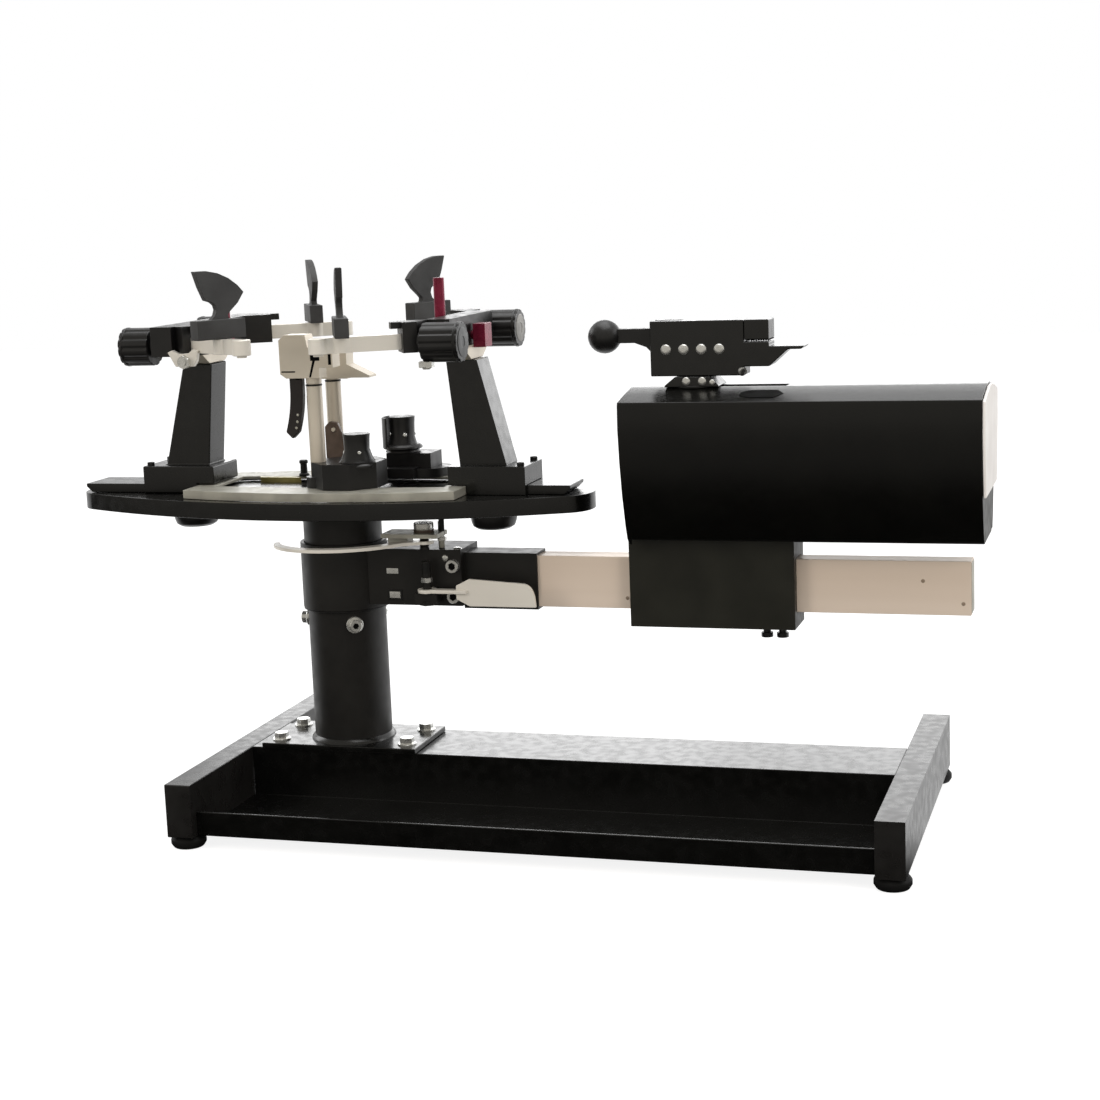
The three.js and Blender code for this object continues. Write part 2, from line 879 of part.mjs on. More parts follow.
function armCarrier(side, signX) {
  const beam = box(beamX, [-beamHalf, beamHalf], [armBottom, armTop]);
  const pieces = [];
  const cuts = [
    lyingX([beamX[0] - overrun, beamX[1] + overrun], 0, knobZ, knobStemRadius + seat, smallSides),
  ];
  for (const signY of [-1, 1]) {
    const body = box(armBodySpan, [-armBodyHalf, armBodyHalf], [armBottom, armTop]);
    const prong = box(
      [armBodySpan[1] - overrun, armBodySpan[1] + prongLength],
      [-prongHalf, prongHalf],
      [armTop - prongHeight, armTop],
    );
    const channel = box(
      [barStart - running, armBodySpan[1] + overrun],
      [-barHalf - seat, barHalf + seat],
      [silverBottom - seat, silverTop + seat],
    );
    const clearedX = side === "left" ? beamX[1] : armFaceX;
    const corner = box(
      [clearedX, clearedX + 2 * knobRadius],
      [beamHalf, beamHalf + 2 * knobRadius],
      [armBottom - overrun, armTop + overrun],
    );
    const block = box([armFaceX, beamX[1]], cornerBlockY, [armBottom, armTop]);
    const place = (geometry) => mirrored(turnedTo(geometry, armBearing, armX, armY), 1, signY);
    pieces.push(cut(join(place(body), place(prong)), mirrored(corner, 1, signY)));
    if (side === "left") {
      pieces.push(mirrored(block, 1, signY));
    }
    cuts.push(place(channel));
    cuts.push(mirrored(stemBore(side), 1, signY));
  }
  return mirrored(cut(join(beam, ...pieces), ...cuts), signX, 1);
}

function armBar(side) {
  const at = side === "left" ? leftHookAt : rightHookAt;
  const bar = box([barStart, barStart + barLength], [-barHalf, barHalf], [silverBottom, silverTop]);
  const boss = upright(at, 0, hookBossRadius, [silverBottom, silverTop]);
  const bore = upright(
    at,
    0,
    hookPinRadius + seat,
    [silverTop - hookPinDeep - seat, silverTop + overrun],
    smallSides,
  );
  return turnedTo(cut(join(bar, boss), bore), armBearing, armX, armY);
}

function hook(side) {
  const span = hookBlockSpan;
  const block = box(span, [-hookBlockHalf, hookBlockHalf], [silverTop + seat, hookBlockTop]);
  const edge = hookShares.map(([acrossShare, upShare]) => [
    acrossShare * hookWidth,
    hookBlockTop + upShare * hookHeight,
  ]);
  const root = [edge[edge.length - 1], edge[0]].map(([across]) => [across, hookBlockTop - overrun]);
  const fan = sidePlate(outline([...edge, ...root]), [-hookHalf, hookHalf]);
  const pin = upright(0, 0, hookPinRadius, [silverTop - hookPinDeep, hookBlockTop - overrun], smallSides);
  const at = side === "left" ? leftHookAt : rightHookAt;
  const facing = side === "left" ? leftHookBearing : rightHookBearing;
  const bearing = THREE.MathUtils.degToRad(armBearing);
  const x = armX + at * Math.cos(bearing);
  const y = armY + at * Math.sin(bearing);
  return turnedTo(join(block, fan, pin), facing, x, y);
}

function flutedOutline(radius, flutes, deep) {
  const points = [];
  for (let i = 0; i < 4 * flutes; i += 1) {
    const angle = (Math.PI * i) / (2 * flutes);
    const reach = i % 4 === 0 ? radius - deep : radius;
    points.push([Math.cos(angle) * reach, Math.sin(angle) * reach]);
  }
  return outline(points);
}

function adjustKnob(side) {
  const { x, y, length, stem } = knobPlaces[side];
  const grip = endPlate(flutedOutline(knobRadius, knobFlutes, fluteDeep), [knobWaistLength, length]);
  const collar = lyingX([0, knobWaistLength + overrun], 0, 0, knobWaistRadius);
  const shank = lyingX([-stem, knobWaistLength], 0, 0, knobStemRadius, smallSides);
  return join(grip, collar, shank).translate(x, y, knobZ);
}

function centreSupport() {
  return join(
    upright(pinX, 0, pinRadius, [knobZ, knobZ + pinHeight], roundSides),
    box(
      [pinX - pinFootHalf, pinX + pinFootHalf],
      [-pinFootHalf, pinFootHalf],
      [capTop + seat, knobZ + pinFootHalf],
    ),
    lyingX([pinX, pinBlockX[1]], 0, knobZ, knobStemRadius, smallSides),
    box(
      pinBlockX,
      [-pinBlockHalf, pinBlockHalf],
      [knobZ - pinBlockHalfHeight, knobZ + pinBlockHalfHeight],
    ),
  );
}

function lockKnob() {
  const profile = lockKnobShares.map(([radiusShare, heightShare]) => [
    radiusShare * lockKnobRadius,
    lockKnobBottom + heightShare * lockKnobHeight,
  ]);
  return join(
    turned([[0, lockKnobBottom], ...profile, [0, lockKnobTop]], fineSides),
    upright(0, 0, studRadius, [lockKnobBottom + overrun, studTop], smallSides),
  );
}

for (const [side, signX] of [["left", -1], ["right", 1]]) {
  const holder = new THREE.Group();
  table.add(holder);
  holder.position.x = signX * studInset;
  add(holder, `holder_post_${side}`, mirrored(holderPost(), signX, 1), blackPaint);
  add(holder, `post_cap_${side}`, mirrored(postCap(), signX, 1), castSilver);
  add(holder, `arm_carrier_${side}`, armCarrier(side, signX), blackPlastic);
  add(holder, `centre_support_${side}`, mirrored(centreSupport(), signX, 1), redAnodised);
  add(holder, `holder_lock_knob_${side}`, lockKnob(), blackPlastic);
  for (const [end, signY] of [["front", -1], ["rear", 1]]) {
    const place = (geometry) => mirrored(geometry, signX, signY);
    add(holder, `arm_bar_${end}_${side}`, place(armBar(side)), polishedSteel);
    add(holder, `hook_${end}_${side}`, place(hook(side)), hookPlastic);
    add(holder, `adjust_knob_${end}_${side}`, place(adjustKnob(side)), blackPlastic);
  }
}

// String clamps on the glide plate
const clampBottom = glideTop + seat;
const socketRadius = 12;
const socketHeight = 10.2;
const socketTop = clampBottom + socketHeight;
const towerRadius = 7.5;
const towerSink = 4;
const seamDeep = 0.8;
const seamHalf = 1;
const coneRadius = 17.5;
const coneRadiusShares = [1, 0.86, 0.69, 0.71, 0.74];
const coneHeightShares = [0, 0.12, 0.45, 0.8, 1];
const coneStemRadius = 4;
const coneStemDeep = 10;
const clampHeadHalf = 9;
const clampLeverHalf = 4;
const leverHead = 6;
const leverRoom = 4;
const leverDrop = 4;
const frontLeverReach = -17;
const frontLeverLength = 54;
const frontLeverWidth = 13;
const rearLeverThick = 5;
const rearLeverPinReach = 3;
const rearLeverPinDrop = 49;
const rearLeverPinRadius = 2;
const rearLeverLength = 36;
const rearLeverWidth = 20;
const rearLeverShares = [
  [-0.45, -0.78],
  [0.5, -0.78],
  [0.55, -0.25],
  [0.2, 0.19],
  [-0.2, 0.22],
  [-0.45, 0.08],
];

const frontClamp = {
  tower: [-6, -36],
  towerHeight: 104.2,
  base: [22, -28],
  baseRadius: 36,
  baseSides: 8,
  baseHeight: 24.2,
  deckHeight: 24.2,
  deckHalf: 20,
  coneAt: [35, -38],
  coneHeight: 26.7,
  seamDrop: 6.4,
  headBack: 30,
  headLength: 54,
  headHeight: 41,
  headShares: [
    [0.11, 0],
    [0.74, 0],
    [0.74, 0.24],
    [1, 0.24],
    [1, 0.59],
    [0.74, 0.59],
    [0.74, 0.71],
    [0.54, 0.71],
    [0.5, 1],
    [0.11, 1],
    [0, 0.88],
    [0, 0.1],
  ],
};
const rearClamp = {
  tower: [-11, 22],
  towerHeight: 98.2,
  base: [70, 50],
  baseRadius: 26,
  baseSides: 28,
  baseHeight: 8.2,
  deckHeight: 23.2,
  deckHalf: 26,
  coneAt: [50, 44],
  coneHeight: 34.7,
  seamDrop: 1.6,
  headBack: 14,
  headLength: 56,
  headHeight: 29,
  headShares: [
    [0, 0],
    [0.59, 0],
    [0.59, 0.03],
    [1, 0.03],
    [1, 0.1],
    [0.59, 0.48],
    [0.59, 1],
    [0.09, 1],
    [0, 0.83],
  ],
};

function clampBase(kind) {
  const [tx, ty] = kind.tower;
  const [bx, by] = kind.base;
  const [cx, cy] = kind.coneAt;
  const baseTop = clampBottom + kind.baseHeight;
  const deckTop = clampBottom + kind.deckHeight;
  const range = [clampBottom, baseTop];
  const disc = upright(0, 0, kind.baseRadius, range, kind.baseSides)
    .rotateZ(Math.PI / kind.baseSides)
    .translate(bx, by, 0);
  const deck = box(
    [cx - kind.deckHalf / 2, bx + kind.deckHalf / 2],
    [cy - kind.deckHalf / 2, by + kind.deckHalf / 2],
    [clampBottom, deckTop],
  );
  const socket = upright(tx, ty, socketRadius, [clampBottom, socketTop]);
  const link = box(
    [tx, Math.max(bx - kind.deckHalf / 2, tx + socketRadius)],
    [ty - towerRadius, ty + towerRadius],
    [clampBottom, socketTop - seat],
  );
  const web = box(
    [bx - kind.deckHalf, bx],
    [Math.min(ty, by) - towerRadius, Math.max(ty, by) + towerRadius],
    [clampBottom, socketTop - seat],
  );
  const well = upright(
    tx,
    ty,
    towerRadius + seat,
    [clampBottom + towerSink, Math.max(baseTop, deckTop, socketTop) + overrun],
    roundSides,
  );
  const bore = upright(
    cx,
    cy,
    coneStemRadius + seat,
    [deckTop - coneStemDeep - seat, deckTop + overrun],
    smallSides,
  );
  return cut(join(disc, deck, socket, link, web), well, bore);
}

function clampPaddle(kind) {
  const deckTop = clampBottom + kind.deckHeight;
  const bottom = deckTop + seat;
  const rim = coneHeightShares.map((share, i) => [
    coneRadiusShares[i] * coneRadius,
    bottom + share * kind.coneHeight,
  ]);
  const body = turned([[0, bottom], ...rim, [0, bottom + kind.coneHeight]]);
  const stem = upright(0, 0, coneStemRadius, [deckTop - coneStemDeep, bottom + overrun], smallSides);
  return join(body, stem);
}

// A shaft with a seam below its head, which carries the fixed jaw.
function clampTower(kind) {
  const bottom = clampBottom + towerSink + seat;
  const headBottom = clampBottom + kind.towerHeight;
  const seamZ = headBottom - kind.seamDrop;
  const top = headBottom + overrun;
  const shaft = turned([
    [0, bottom],
    [towerRadius, bottom],
    [towerRadius, seamZ - seamHalf],
    [towerRadius - seamDeep, seamZ - seamHalf],
    [towerRadius - seamDeep, seamZ + seamHalf],
    [towerRadius, seamZ + seamHalf],
    [towerRadius, top],
    [0, top],
  ]);
  const around = kind.headShares.map(([lengthShare, heightShare]) => [
    lengthShare * kind.headLength - kind.headBack,
    headBottom + heightShare * kind.headHeight,
  ]);
  return join(shaft, sidePlate(outline(around), [-clampHeadHalf, clampHeadHalf]));
}

const frontLeverTop = clampBottom + frontClamp.towerHeight - leverDrop;
const rearLeverPinZ = clampBottom + rearClamp.towerHeight - rearLeverPinDrop;

function frontTower() {
  const gap = box(
    [-frontClamp.headBack - overrun, frontLeverReach + frontLeverWidth],
    [-clampLeverHalf - seat, clampLeverHalf + seat],
    [frontLeverTop - frontLeverWidth, frontLeverTop + leverHead + leverRoom],
  );
  return cut(clampTower(frontClamp), gap);
}

function rearTower() {
  const pin = lyingY(
    rearLeverPinReach,
    [-towerRadius - rearLeverThick - 2 * running, 0],
    rearLeverPinZ,
    rearLeverPinRadius,
    smallSides,
  );
  return join(clampTower(rearClamp), pin);
}

function frontLever() {
  const top = frontLeverTop;
  const bottom = top - frontLeverLength;
  const middle = (bottom + top) / 2;
  const half = frontLeverWidth / 2;
  const shape = new THREE.Shape();
  shape.moveTo(-half, top + leverHead);
  shape.lineTo(half, top + leverHead);
  shape.lineTo(half, top - half);
  shape.quadraticCurveTo(half, middle, 0, bottom + half);
  shape.lineTo(-half, bottom);
  shape.lineTo(-2 * half, bottom + half);
  shape.quadraticCurveTo(-half, middle, -half, top - half);
  return sidePlate(shape, [-clampLeverHalf, clampLeverHalf]).translate(frontLeverReach, 0, 0);
}

function rearLever() {
  const back = -towerRadius - seat;
  const around = rearLeverShares.map(([widthShare, lengthShare]) => [
    rearLeverPinReach + widthShare * rearLeverWidth,
    rearLeverPinZ + lengthShare * rearLeverLength,
  ]);
  const blade = sidePlate(outline(around), [back - rearLeverThick, back]);
  const bore = lyingY(
    rearLeverPinReach,
    [back - rearLeverThick - overrun, back + overrun],
    rearLeverPinZ,
    rearLeverPinRadius + running,
    smallSides,
  );
  return cut(blade, bore);
}

const clamps = [
  ["front", frontClamp, frontTower(), frontLever()],
  ["rear", rearClamp, rearTower(), rearLever()],
];
for (const [end, kind, tower, lever] of clamps) {
  const clamp = new THREE.Group();
  table.add(clamp);
  add(clamp, `clamp_base_${end}`, clampBase(kind), blackPlastic);
  add(clamp, `clamp_paddle_${end}`, clampPaddle(kind), blackPlastic).position.set(...kind.coneAt, 0);
  add(clamp, `clamp_tower_${end}`, tower, castSilver).position.set(...kind.tower, 0);
  add(clamp, `clamp_lever_${end}`, lever, blackPlastic).position.set(...kind.tower, 0);
}

// Tension head on the rail
const headBracketInset = 4;
const headBracketLength = 154;
const headBracketHalf = 24;
const headBracketFloor = 14.5;
const headBracketRoof = 19.2;
const headBracketLeft = headLeft - headBracketInset;
const headBracketRight = headBracketLeft + headBracketLength;
const headBracketBottom = railBottom - headBracketFloor;
const headBracketTop = railTop + headBracketRoof;
const panelThick = 3;
const coverWall = 2.5;
const coverHalf = 65;
const coverHeight = 141.5;
const coverLap = 3.2;
const coverBottom = headBracketTop - coverLap;
// The cover's half section from its lower edge up to the crown, across and up.
const coverShares = [
  [0.554, 0],
  [0.646, 0.046],
  [0.723, 0.131],
  [0.862, 0.343],
  [0.954, 0.562],
  [1, 0.767],
  [0.985, 0.922],
  [0.969, 0.94],
  [0.615, 0.97],
  [0.185, 1],
];
const coverShoulder = 2;
const panelStart = 3;
const chassisThick = 4;
const chassisHalf = 34;
const gripperLeft = 19.7;
const gripperStart = headLeft + gripperLeft;
const gripperLength = 86.5;
const gripperX = [gripperStart, gripperStart + gripperLength];
const gripperHalf = 14;
const gripperTravel = 60;
const carriageReach = [13.3, 63.3];
const carriageTopReach = [23.3, 55.3];
const carriageHeight = 10;
const carriageHalf = 18;
const carriageBottom = coverBottom + coverHeight;
const tongueReach = [35.3, 59.3];
const tongueHalf = 6;
const tongueDeep = 8;
const slotRoom = 4;
const slotHalf = 9;
const gripperHeight = 50;
const gripperBottom = carriageBottom + carriageHeight;
const gripperTop = gripperBottom + gripperHeight;
const lowerJawLength = 22.8;
const lowerJawRise = [8, 30];
const lowerJawX = gripperX[1] + lowerJawLength;
const lowerJawZ = [gripperBottom + lowerJawRise[0], gripperBottom + lowerJawRise[1]];
const wedgeLength = 17;
const pointLength = 32;
const pointRise = 26;
const pointThick = 3;
const pointX = lowerJawX + pointLength;
const pointZ = gripperBottom + pointRise;
const jawHeight = 18;
const jawX = [gripperX[1] + seat, lowerJawX];
const jawZ = [gripperTop - jawHeight, gripperTop];
const leverSlotLength = 27.3;
const leverSlotRise = 19;
const leverSlotX = gripperX[0] + leverSlotLength;
const leverSlotFloor = gripperBottom + leverSlotRise;
const neckHalf = 5;
const neckRise = [30, 43];
const neckZ = [gripperBottom + neckRise[0], gripperBottom + neckRise[1]];
const neckReach = 16.7;
const neckBend = [5.7, 26];
const ballReach = 46;
const ballRise = 36;
const ballRadius = 15.5;
const ballX = gripperX[0] - ballReach;
const ballZ = gripperBottom + ballRise;
const leverPivotReach = 17.3;
const leverPivot = gripperX[0] + leverPivotReach;
const screwInsets = [30.5, 16];
const screwNeck = 7;
const screwHeadHeight = 4.5;
const screwHeadTop = headBracketBottom - screwNeck;
const screwHeadZ = [screwHeadTop - screwHeadHeight, screwHeadTop];
const screwHeadRadius = 5.5;
const screwStemRadius = 2.5;
const screwCollarRadius = 3.5;

function coverPoints(by, from = 0) {
  return coverShares.slice(from).map(([acrossShare, upShare]) => {
    const z = coverBottom + upShare * coverHeight;
    return [acrossShare * coverHalf - by, z > headBracketTop + 2 * by ? z - by : z - 2 * by];
  });
}

function bothSides(points) {
  return [...points, ...points.map(([y, z]) => [-y, z]).reverse()];
}

function headBracket() {
  const block = box(
    [headBracketLeft, headBracketRight],
    [-headBracketHalf, headBracketHalf],
    [headBracketBottom, headBracketTop],
  );
  const passage = box(
    [headBracketLeft - overrun, headBracketRight + overrun],
    [-railHalf - running, railHalf + running],
    [railBottom - running, railTop + running],
  );
  const bores = screwInsets.map((inset) =>
    upright(
      headBracketRight - inset,
      0,
      screwStemRadius + seat,
      [headBracketBottom - overrun, railBottom + overrun],
      smallSides,
    ),
  );
  return cut(block, passage, ...bores);
}

function headChassis() {
  const bottom = headBracketTop + seat;
  const left = headLeft + coverWall + seat;
  const right = headRight - panelThick - seat;
  const within = coverPoints(coverWall + seat, coverShoulder);
  const end = outline(bothSides([[chassisHalf, bottom], ...within]));
  return join(
    box([left, right], [-chassisHalf, chassisHalf], [bottom, bottom + chassisThick]),
    endPlate(end, [right - chassisThick, right]),
  );
}

function headCover() {
  const right = headRight - panelThick;
  const shell = endPlate(outline(bothSides(coverPoints(0))), [headLeft, right]);
  const inside = endPlate(
    outline(bothSides(coverPoints(coverWall))),
    [headLeft + coverWall, right + overrun],
  );
  const opening = box(
    [
      gripperX[0] + tongueReach[0] - slotRoom,
      gripperX[0] + tongueReach[1] + gripperTravel + slotRoom,
    ],
    [-slotHalf, slotHalf],
    [carriageBottom - 2 * coverWall, carriageBottom + overrun],
  );
  const under = box(
    [headLeft - overrun, right + overrun],
    [-chassisHalf - seat, chassisHalf + seat],
    [headBracketBottom, headBracketTop + 2 * seat],
  );
  return cut(shell, inside, opening, under);
}

function headEndPanel() {
  const points = coverPoints(coverWall / 2, panelStart);
  return endPlate(outline(bothSides(points)), [
    headRight - panelThick + seat,
    headRight,
  ]);
}

function thumbScrew() {
  return join(
    upright(0, 0, screwHeadRadius, screwHeadZ, smallSides),
    upright(0, 0, screwCollarRadius, [screwHeadZ[0], headBracketBottom - seat], smallSides),
    upright(0, 0, screwStemRadius, [screwHeadZ[0], railBottom - running], smallSides),
  );
}

function gripperCarriage() {
  const bottom = carriageBottom + seat;
  const [x0, x1] = carriageReach.map((reach) => gripperX[0] + reach);
  const [topX0, topX1] = carriageTopReach.map((reach) => gripperX[0] + reach);
  const tongueX = tongueReach.map((reach) => gripperX[0] + reach);
  const foot = sidePlate(
    outline([
      [x0, bottom],
      [x1, bottom],
      [x1, bottom + washerThick],
      [topX1, gripperBottom - seat],
      [topX0, gripperBottom - seat],
      [x0, bottom + washerThick],
    ]),
    [-carriageHalf, carriageHalf],
  );
  const tongue = box(tongueX, [-tongueHalf, tongueHalf], [bottom - tongueDeep, bottom + overrun]);
  return join(foot, tongue);
}

function gripperBody() {
  const body = sidePlate(
    outline([
      [gripperX[0], gripperBottom],
      [gripperX[1], gripperBottom],
      [gripperX[1], lowerJawZ[0]],
      [lowerJawX, lowerJawZ[0]],
      [lowerJawX + wedgeLength, pointZ - pointThick],
      [pointX - pointThick, pointZ - pointThick],
      [pointX, pointZ],
      [lowerJawX, pointZ],
      [lowerJawX, lowerJawZ[1]],
      [gripperX[1], lowerJawZ[1]],
      [gripperX[1], gripperTop],
      [gripperX[0], gripperTop],
    ]),
    [-gripperHalf, gripperHalf],
  );
  const leverSlot = box(
    [gripperX[0] - overrun, leverSlotX],
    [-neckHalf - running, neckHalf + running],
    [leverSlotFloor, gripperTop + overrun],
  );
  return cut(body, leverSlot);
}

function gripperJaw() {
  return box(jawX, [-gripperHalf, gripperHalf], jawZ);
}

function gripperLever() {
  const half = (neckZ[1] - neckZ[0]) / 2;
  return join(
    new THREE.SphereGeometry(ballRadius, roundSides, smallSides).translate(ballX, 0, ballZ),
    sidePlate(
      outline([
        [ballX, neckZ[0]],
        [gripperX[0] - neckReach, neckZ[0]],
        [gripperX[0] - neckBend[0], gripperBottom + neckBend[1]],
        [gripperX[0], leverSlotFloor + 2 * running],
        [leverPivot, leverSlotFloor + 2 * running],
        [leverPivot + half, neckZ[0]],
        [leverPivot + half, neckZ[1]],
        [ballX, neckZ[1]],
      ]),
      [-neckHalf, neckHalf],
    ),
  );
}

const head = new THREE.Group();
column.add(head);
add(head, "head_bracket", headBracket(), blackPaint);
add(head, "head_chassis", headChassis(), blackPaint);
add(head, "head_cover", headCover(), glossBlack);
add(head, "head_end_panel", headEndPanel(), palePanel);
screwInsets.forEach((inset, i) => {
  const screw = add(head, `thumb_screw_${i + 1}`, thumbScrew(), blackPlastic);
  screw.position.x = headBracketRight - inset;
});
add(head, "gripper_carriage", gripperCarriage(), blackPaint);
add(head, "gripper_body", gripperBody(), blackPaint);
add(head, "gripper_jaw", gripperJaw(), blackPaint);
add(head, "gripper_lever", gripperLever(), blackPlastic);

export default machine;
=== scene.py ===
import json
import math

import bmesh
import bpy
from mathutils import Matrix, Vector

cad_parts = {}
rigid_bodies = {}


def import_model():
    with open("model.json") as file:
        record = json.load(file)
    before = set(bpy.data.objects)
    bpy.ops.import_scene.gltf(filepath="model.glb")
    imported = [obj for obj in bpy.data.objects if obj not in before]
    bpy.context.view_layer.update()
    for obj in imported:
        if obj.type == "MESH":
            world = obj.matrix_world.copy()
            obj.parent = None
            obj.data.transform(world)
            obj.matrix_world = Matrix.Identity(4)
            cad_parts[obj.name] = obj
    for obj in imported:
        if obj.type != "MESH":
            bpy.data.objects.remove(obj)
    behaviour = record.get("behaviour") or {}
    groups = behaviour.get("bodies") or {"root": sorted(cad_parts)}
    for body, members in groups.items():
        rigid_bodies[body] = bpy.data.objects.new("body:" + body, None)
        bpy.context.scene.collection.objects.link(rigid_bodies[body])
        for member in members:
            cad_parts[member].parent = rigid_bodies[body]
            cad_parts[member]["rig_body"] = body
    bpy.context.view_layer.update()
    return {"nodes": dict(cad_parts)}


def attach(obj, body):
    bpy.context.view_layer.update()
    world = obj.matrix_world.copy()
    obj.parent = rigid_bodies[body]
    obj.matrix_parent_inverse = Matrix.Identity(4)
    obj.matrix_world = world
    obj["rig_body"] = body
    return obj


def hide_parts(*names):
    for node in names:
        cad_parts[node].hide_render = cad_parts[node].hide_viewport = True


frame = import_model()

MM = 0.001
PER_METRE = 1000  # millimetres in a metre
AXIS_X = -174.5  # the column's axis in the row frame, in millimetres


# Materials


# sockets of one name are told apart by number: the share, the two colours and the result of a Mix
MIX_SHARE, MIX_FIRST, MIX_SECOND, MIX_COLOUR = 0, 6, 7, 2
PATTERN_LOW, PATTERN_HIGH = 0.3, 0.7  # a noise keeps nearly all its values between these
CLOUD_DETAIL, GRAIN_DETAIL, SHEEN_DETAIL = 3.0, 2.0, 0.0
SHEEN_SHARE = 4  # the sheen changes over a quarter of the colour cloud's size


def linear(code):
    """An sRGB hex code as the linear colour that a shader socket takes."""
    parts = [int(code[i : i + 2], 16) / 255 for i in (1, 3, 5)]
    return (*[c / 12.92 if c <= 0.04045 else ((c + 0.055) / 1.055) ** 2.4 for c in parts], 1.0)


def put(tree, kind, inputs=None, **settings):
    """Adds a node with its settings, its constants and its links."""
    node = tree.nodes.new(kind)
    for key, value in settings.items():
        setattr(node, key, value)
    for key, value in (inputs or {}).items():
        if isinstance(value, bpy.types.NodeSocket):
            tree.links.new(value, node.inputs[key])
        else:
            node.inputs[key].default_value = value
    return node


def blank(name):
    """A material with an empty node tree."""
    material = bpy.data.materials.new(name)
    material.use_nodes = True
    material.node_tree.nodes.clear()
    return material, material.node_tree


def surface(
    name,
    dark,
    light,
    rough,
    metal=0.0,
    cloud_mm=35.0,
    grain_mm=0.6,
    grain_deep_mm=0.02,
    stretch=(1, 1, 1),
    specular=0.5,
):
    """A finish with a soft colour cloud, an uneven sheen and a fine grain, all in real sizes."""
    material, tree = blank(name)
    place = put(tree, "ShaderNodeTexCoord").outputs["Object"]
    scale = [PER_METRE / share for share in stretch]
    vector = put(tree, "ShaderNodeMapping", {"Vector": place, "Scale": scale}).outputs["Vector"]
    cloud, grain, sheen = [
        put(
            tree,
            "ShaderNodeTexNoise",
            {"Vector": vector, "Scale": 1 / size_mm, "Detail": detail},
        ).outputs["Fac"]
        for size_mm, detail in (
            (cloud_mm, CLOUD_DETAIL),
            (grain_mm, GRAIN_DETAIL),
            (cloud_mm / SHEEN_SHARE, SHEEN_DETAIL),
        )
    ]
    lightness, roughness = [
        put(
            tree,
            "ShaderNodeMapRange",
            {
                "Value": pattern,
                "From Min": PATTERN_LOW,
                "From Max": PATTERN_HIGH,
                "To Min": low,
                "To Max": high,
            },
        ).outputs["Result"]
        for pattern, (low, high) in ((cloud, (0.0, 1.0)), (sheen, rough))
    ]
    colour = put(
        tree,
        "ShaderNodeMix",
        {MIX_SHARE: lightness, MIX_FIRST: linear(dark), MIX_SECOND: linear(light)},
        data_type="RGBA",
    ).outputs[MIX_COLOUR]
    bump = put(
        tree,
        "ShaderNodeBump",
        {"Height": grain, "Strength": 1.0, "Distance": grain_deep_mm * MM},
    ).outputs["Normal"]
    shader = put(
        tree,
        "ShaderNodeBsdfPrincipled",
        {
            "Base Color": colour,
            "Metallic": metal,
            "Roughness": roughness,
            "Specular IOR Level": specular,
            "Normal": bump,
        },
    ).outputs["BSDF"]
    put(tree, "ShaderNodeOutputMaterial", {"Surface": shader})
    return material


# satin powder coat of the base's sheet, the table, the posts and the gripper: near black, with a
# soft orange peel
POWDER = surface(
    "satin_black_powder_coat",
    "#070706",
    "#0e0e0d",
    (0.2, 0.28),
    grain_mm=0.8,
    grain_deep_mm=0.004,
    specular=0.55,
)
# the same coat on the head's bracket and chassis: warmer and duller, and painted lighter than the
# coat above as painted light
POWDER_WARM_PAINTED_LIGHT = surface(
    "warm_black_powder_coat_painted_lighter",
    "#1d1d18",
    "#25251f",
    (0.42, 0.52),
    grain_mm=0.8,
    grain_deep_mm=0.03,
    specular=0.3,
)
# the same coat on the column, its collar and the rail's bracket: handled and so duller, and painted
# lighter than the coat above as painted light
POWDER_DULL_PAINTED_LIGHT = surface(
    "dull_black_powder_coat_painted_lighter",
    "#181716",
    "#201f1d",
    (0.38, 0.46),
    grain_mm=0.8,
    grain_deep_mm=0.01,
    specular=0.35,
)
# the same coat on the crossbars, painted a little lighter and greyer than the coat above as painted
# light
POWDER_GREY_PAINTED_LIGHT = surface(
    "grey_black_powder_coat_painted_lighter",
    "#171615",
    "#201f1e",
    (0.26, 0.34),
    grain_mm=0.8,
    grain_deep_mm=0.006,
    specular=0.5,
)
# gloss enamel of the head's cover: deep black that shows the room as a soft band
ENAMEL = surface(
    "gloss_black_enamel",
    "#060605",
    "#0a0a08",
    (0.24, 0.27),
    grain_mm=3,
    grain_deep_mm=0.002,
    specular=0.42,
)
# injection-moulded knobs, arm carriers and clamp bases: black nylon with a low sheen
MOULDING = surface(
    "black_moulded_nylon",
    "#0f0f0f",
    "#191818",
    (0.3, 0.42),
    grain_mm=0.5,
    grain_deep_mm=0.015,
    specular=0.5,
)
# charcoal glass-filled nylon of the hooks: grey and nearly matt
CHARCOAL = surface(
    "charcoal_moulded_nylon",
    "#323232",
    "#434343",
    (0.5, 0.62),
    grain_mm=0.7,
    grain_deep_mm=0.03,
    specular=0.3,
)
# grey-brown phenolic moulding of the rear clamp's lever: warm and dark; the same brown is painted
# shade in the band round the brake nut's foot
PHENOLIC_AND_SHADE = surface(
    "grey_brown_phenolic_and_painted_shade",
    "#4a3d34",
    "#5e4f45",
    (0.32, 0.42),
    cloud_mm=10,
    grain_mm=0.5,
    grain_deep_mm=0.006,
)
# brown-black dipped lever of the front clamp
LEVER_BLACK = surface(
    "brown_black_plastisol",
    "#1a1716",
    "#2a2322",
    (0.36, 0.48),
    grain_mm=0.6,
    grain_deep_mm=0.02,
)
# moulded rubber feet: dull black with a rough grain
RUBBER = surface(
    "moulded_black_rubber",
    "#101010",
    "#191919",
    (0.6, 0.75),
    grain_mm=0.9,
    grain_deep_mm=0.05,
    specular=0.25,
)
# clear anodised rail, brushed along its length: warm, pale and soft
BRUSHED = surface(
    "brushed_anodised_aluminium",
    "#d6c3b0",
    "#eadaca",
    (0.34, 0.46),
    metal=0.15,
    cloud_mm=60,
    grain_mm=0.5,
    grain_deep_mm=0.01,
    stretch=(40, 1, 1),
    specular=0.6,
)
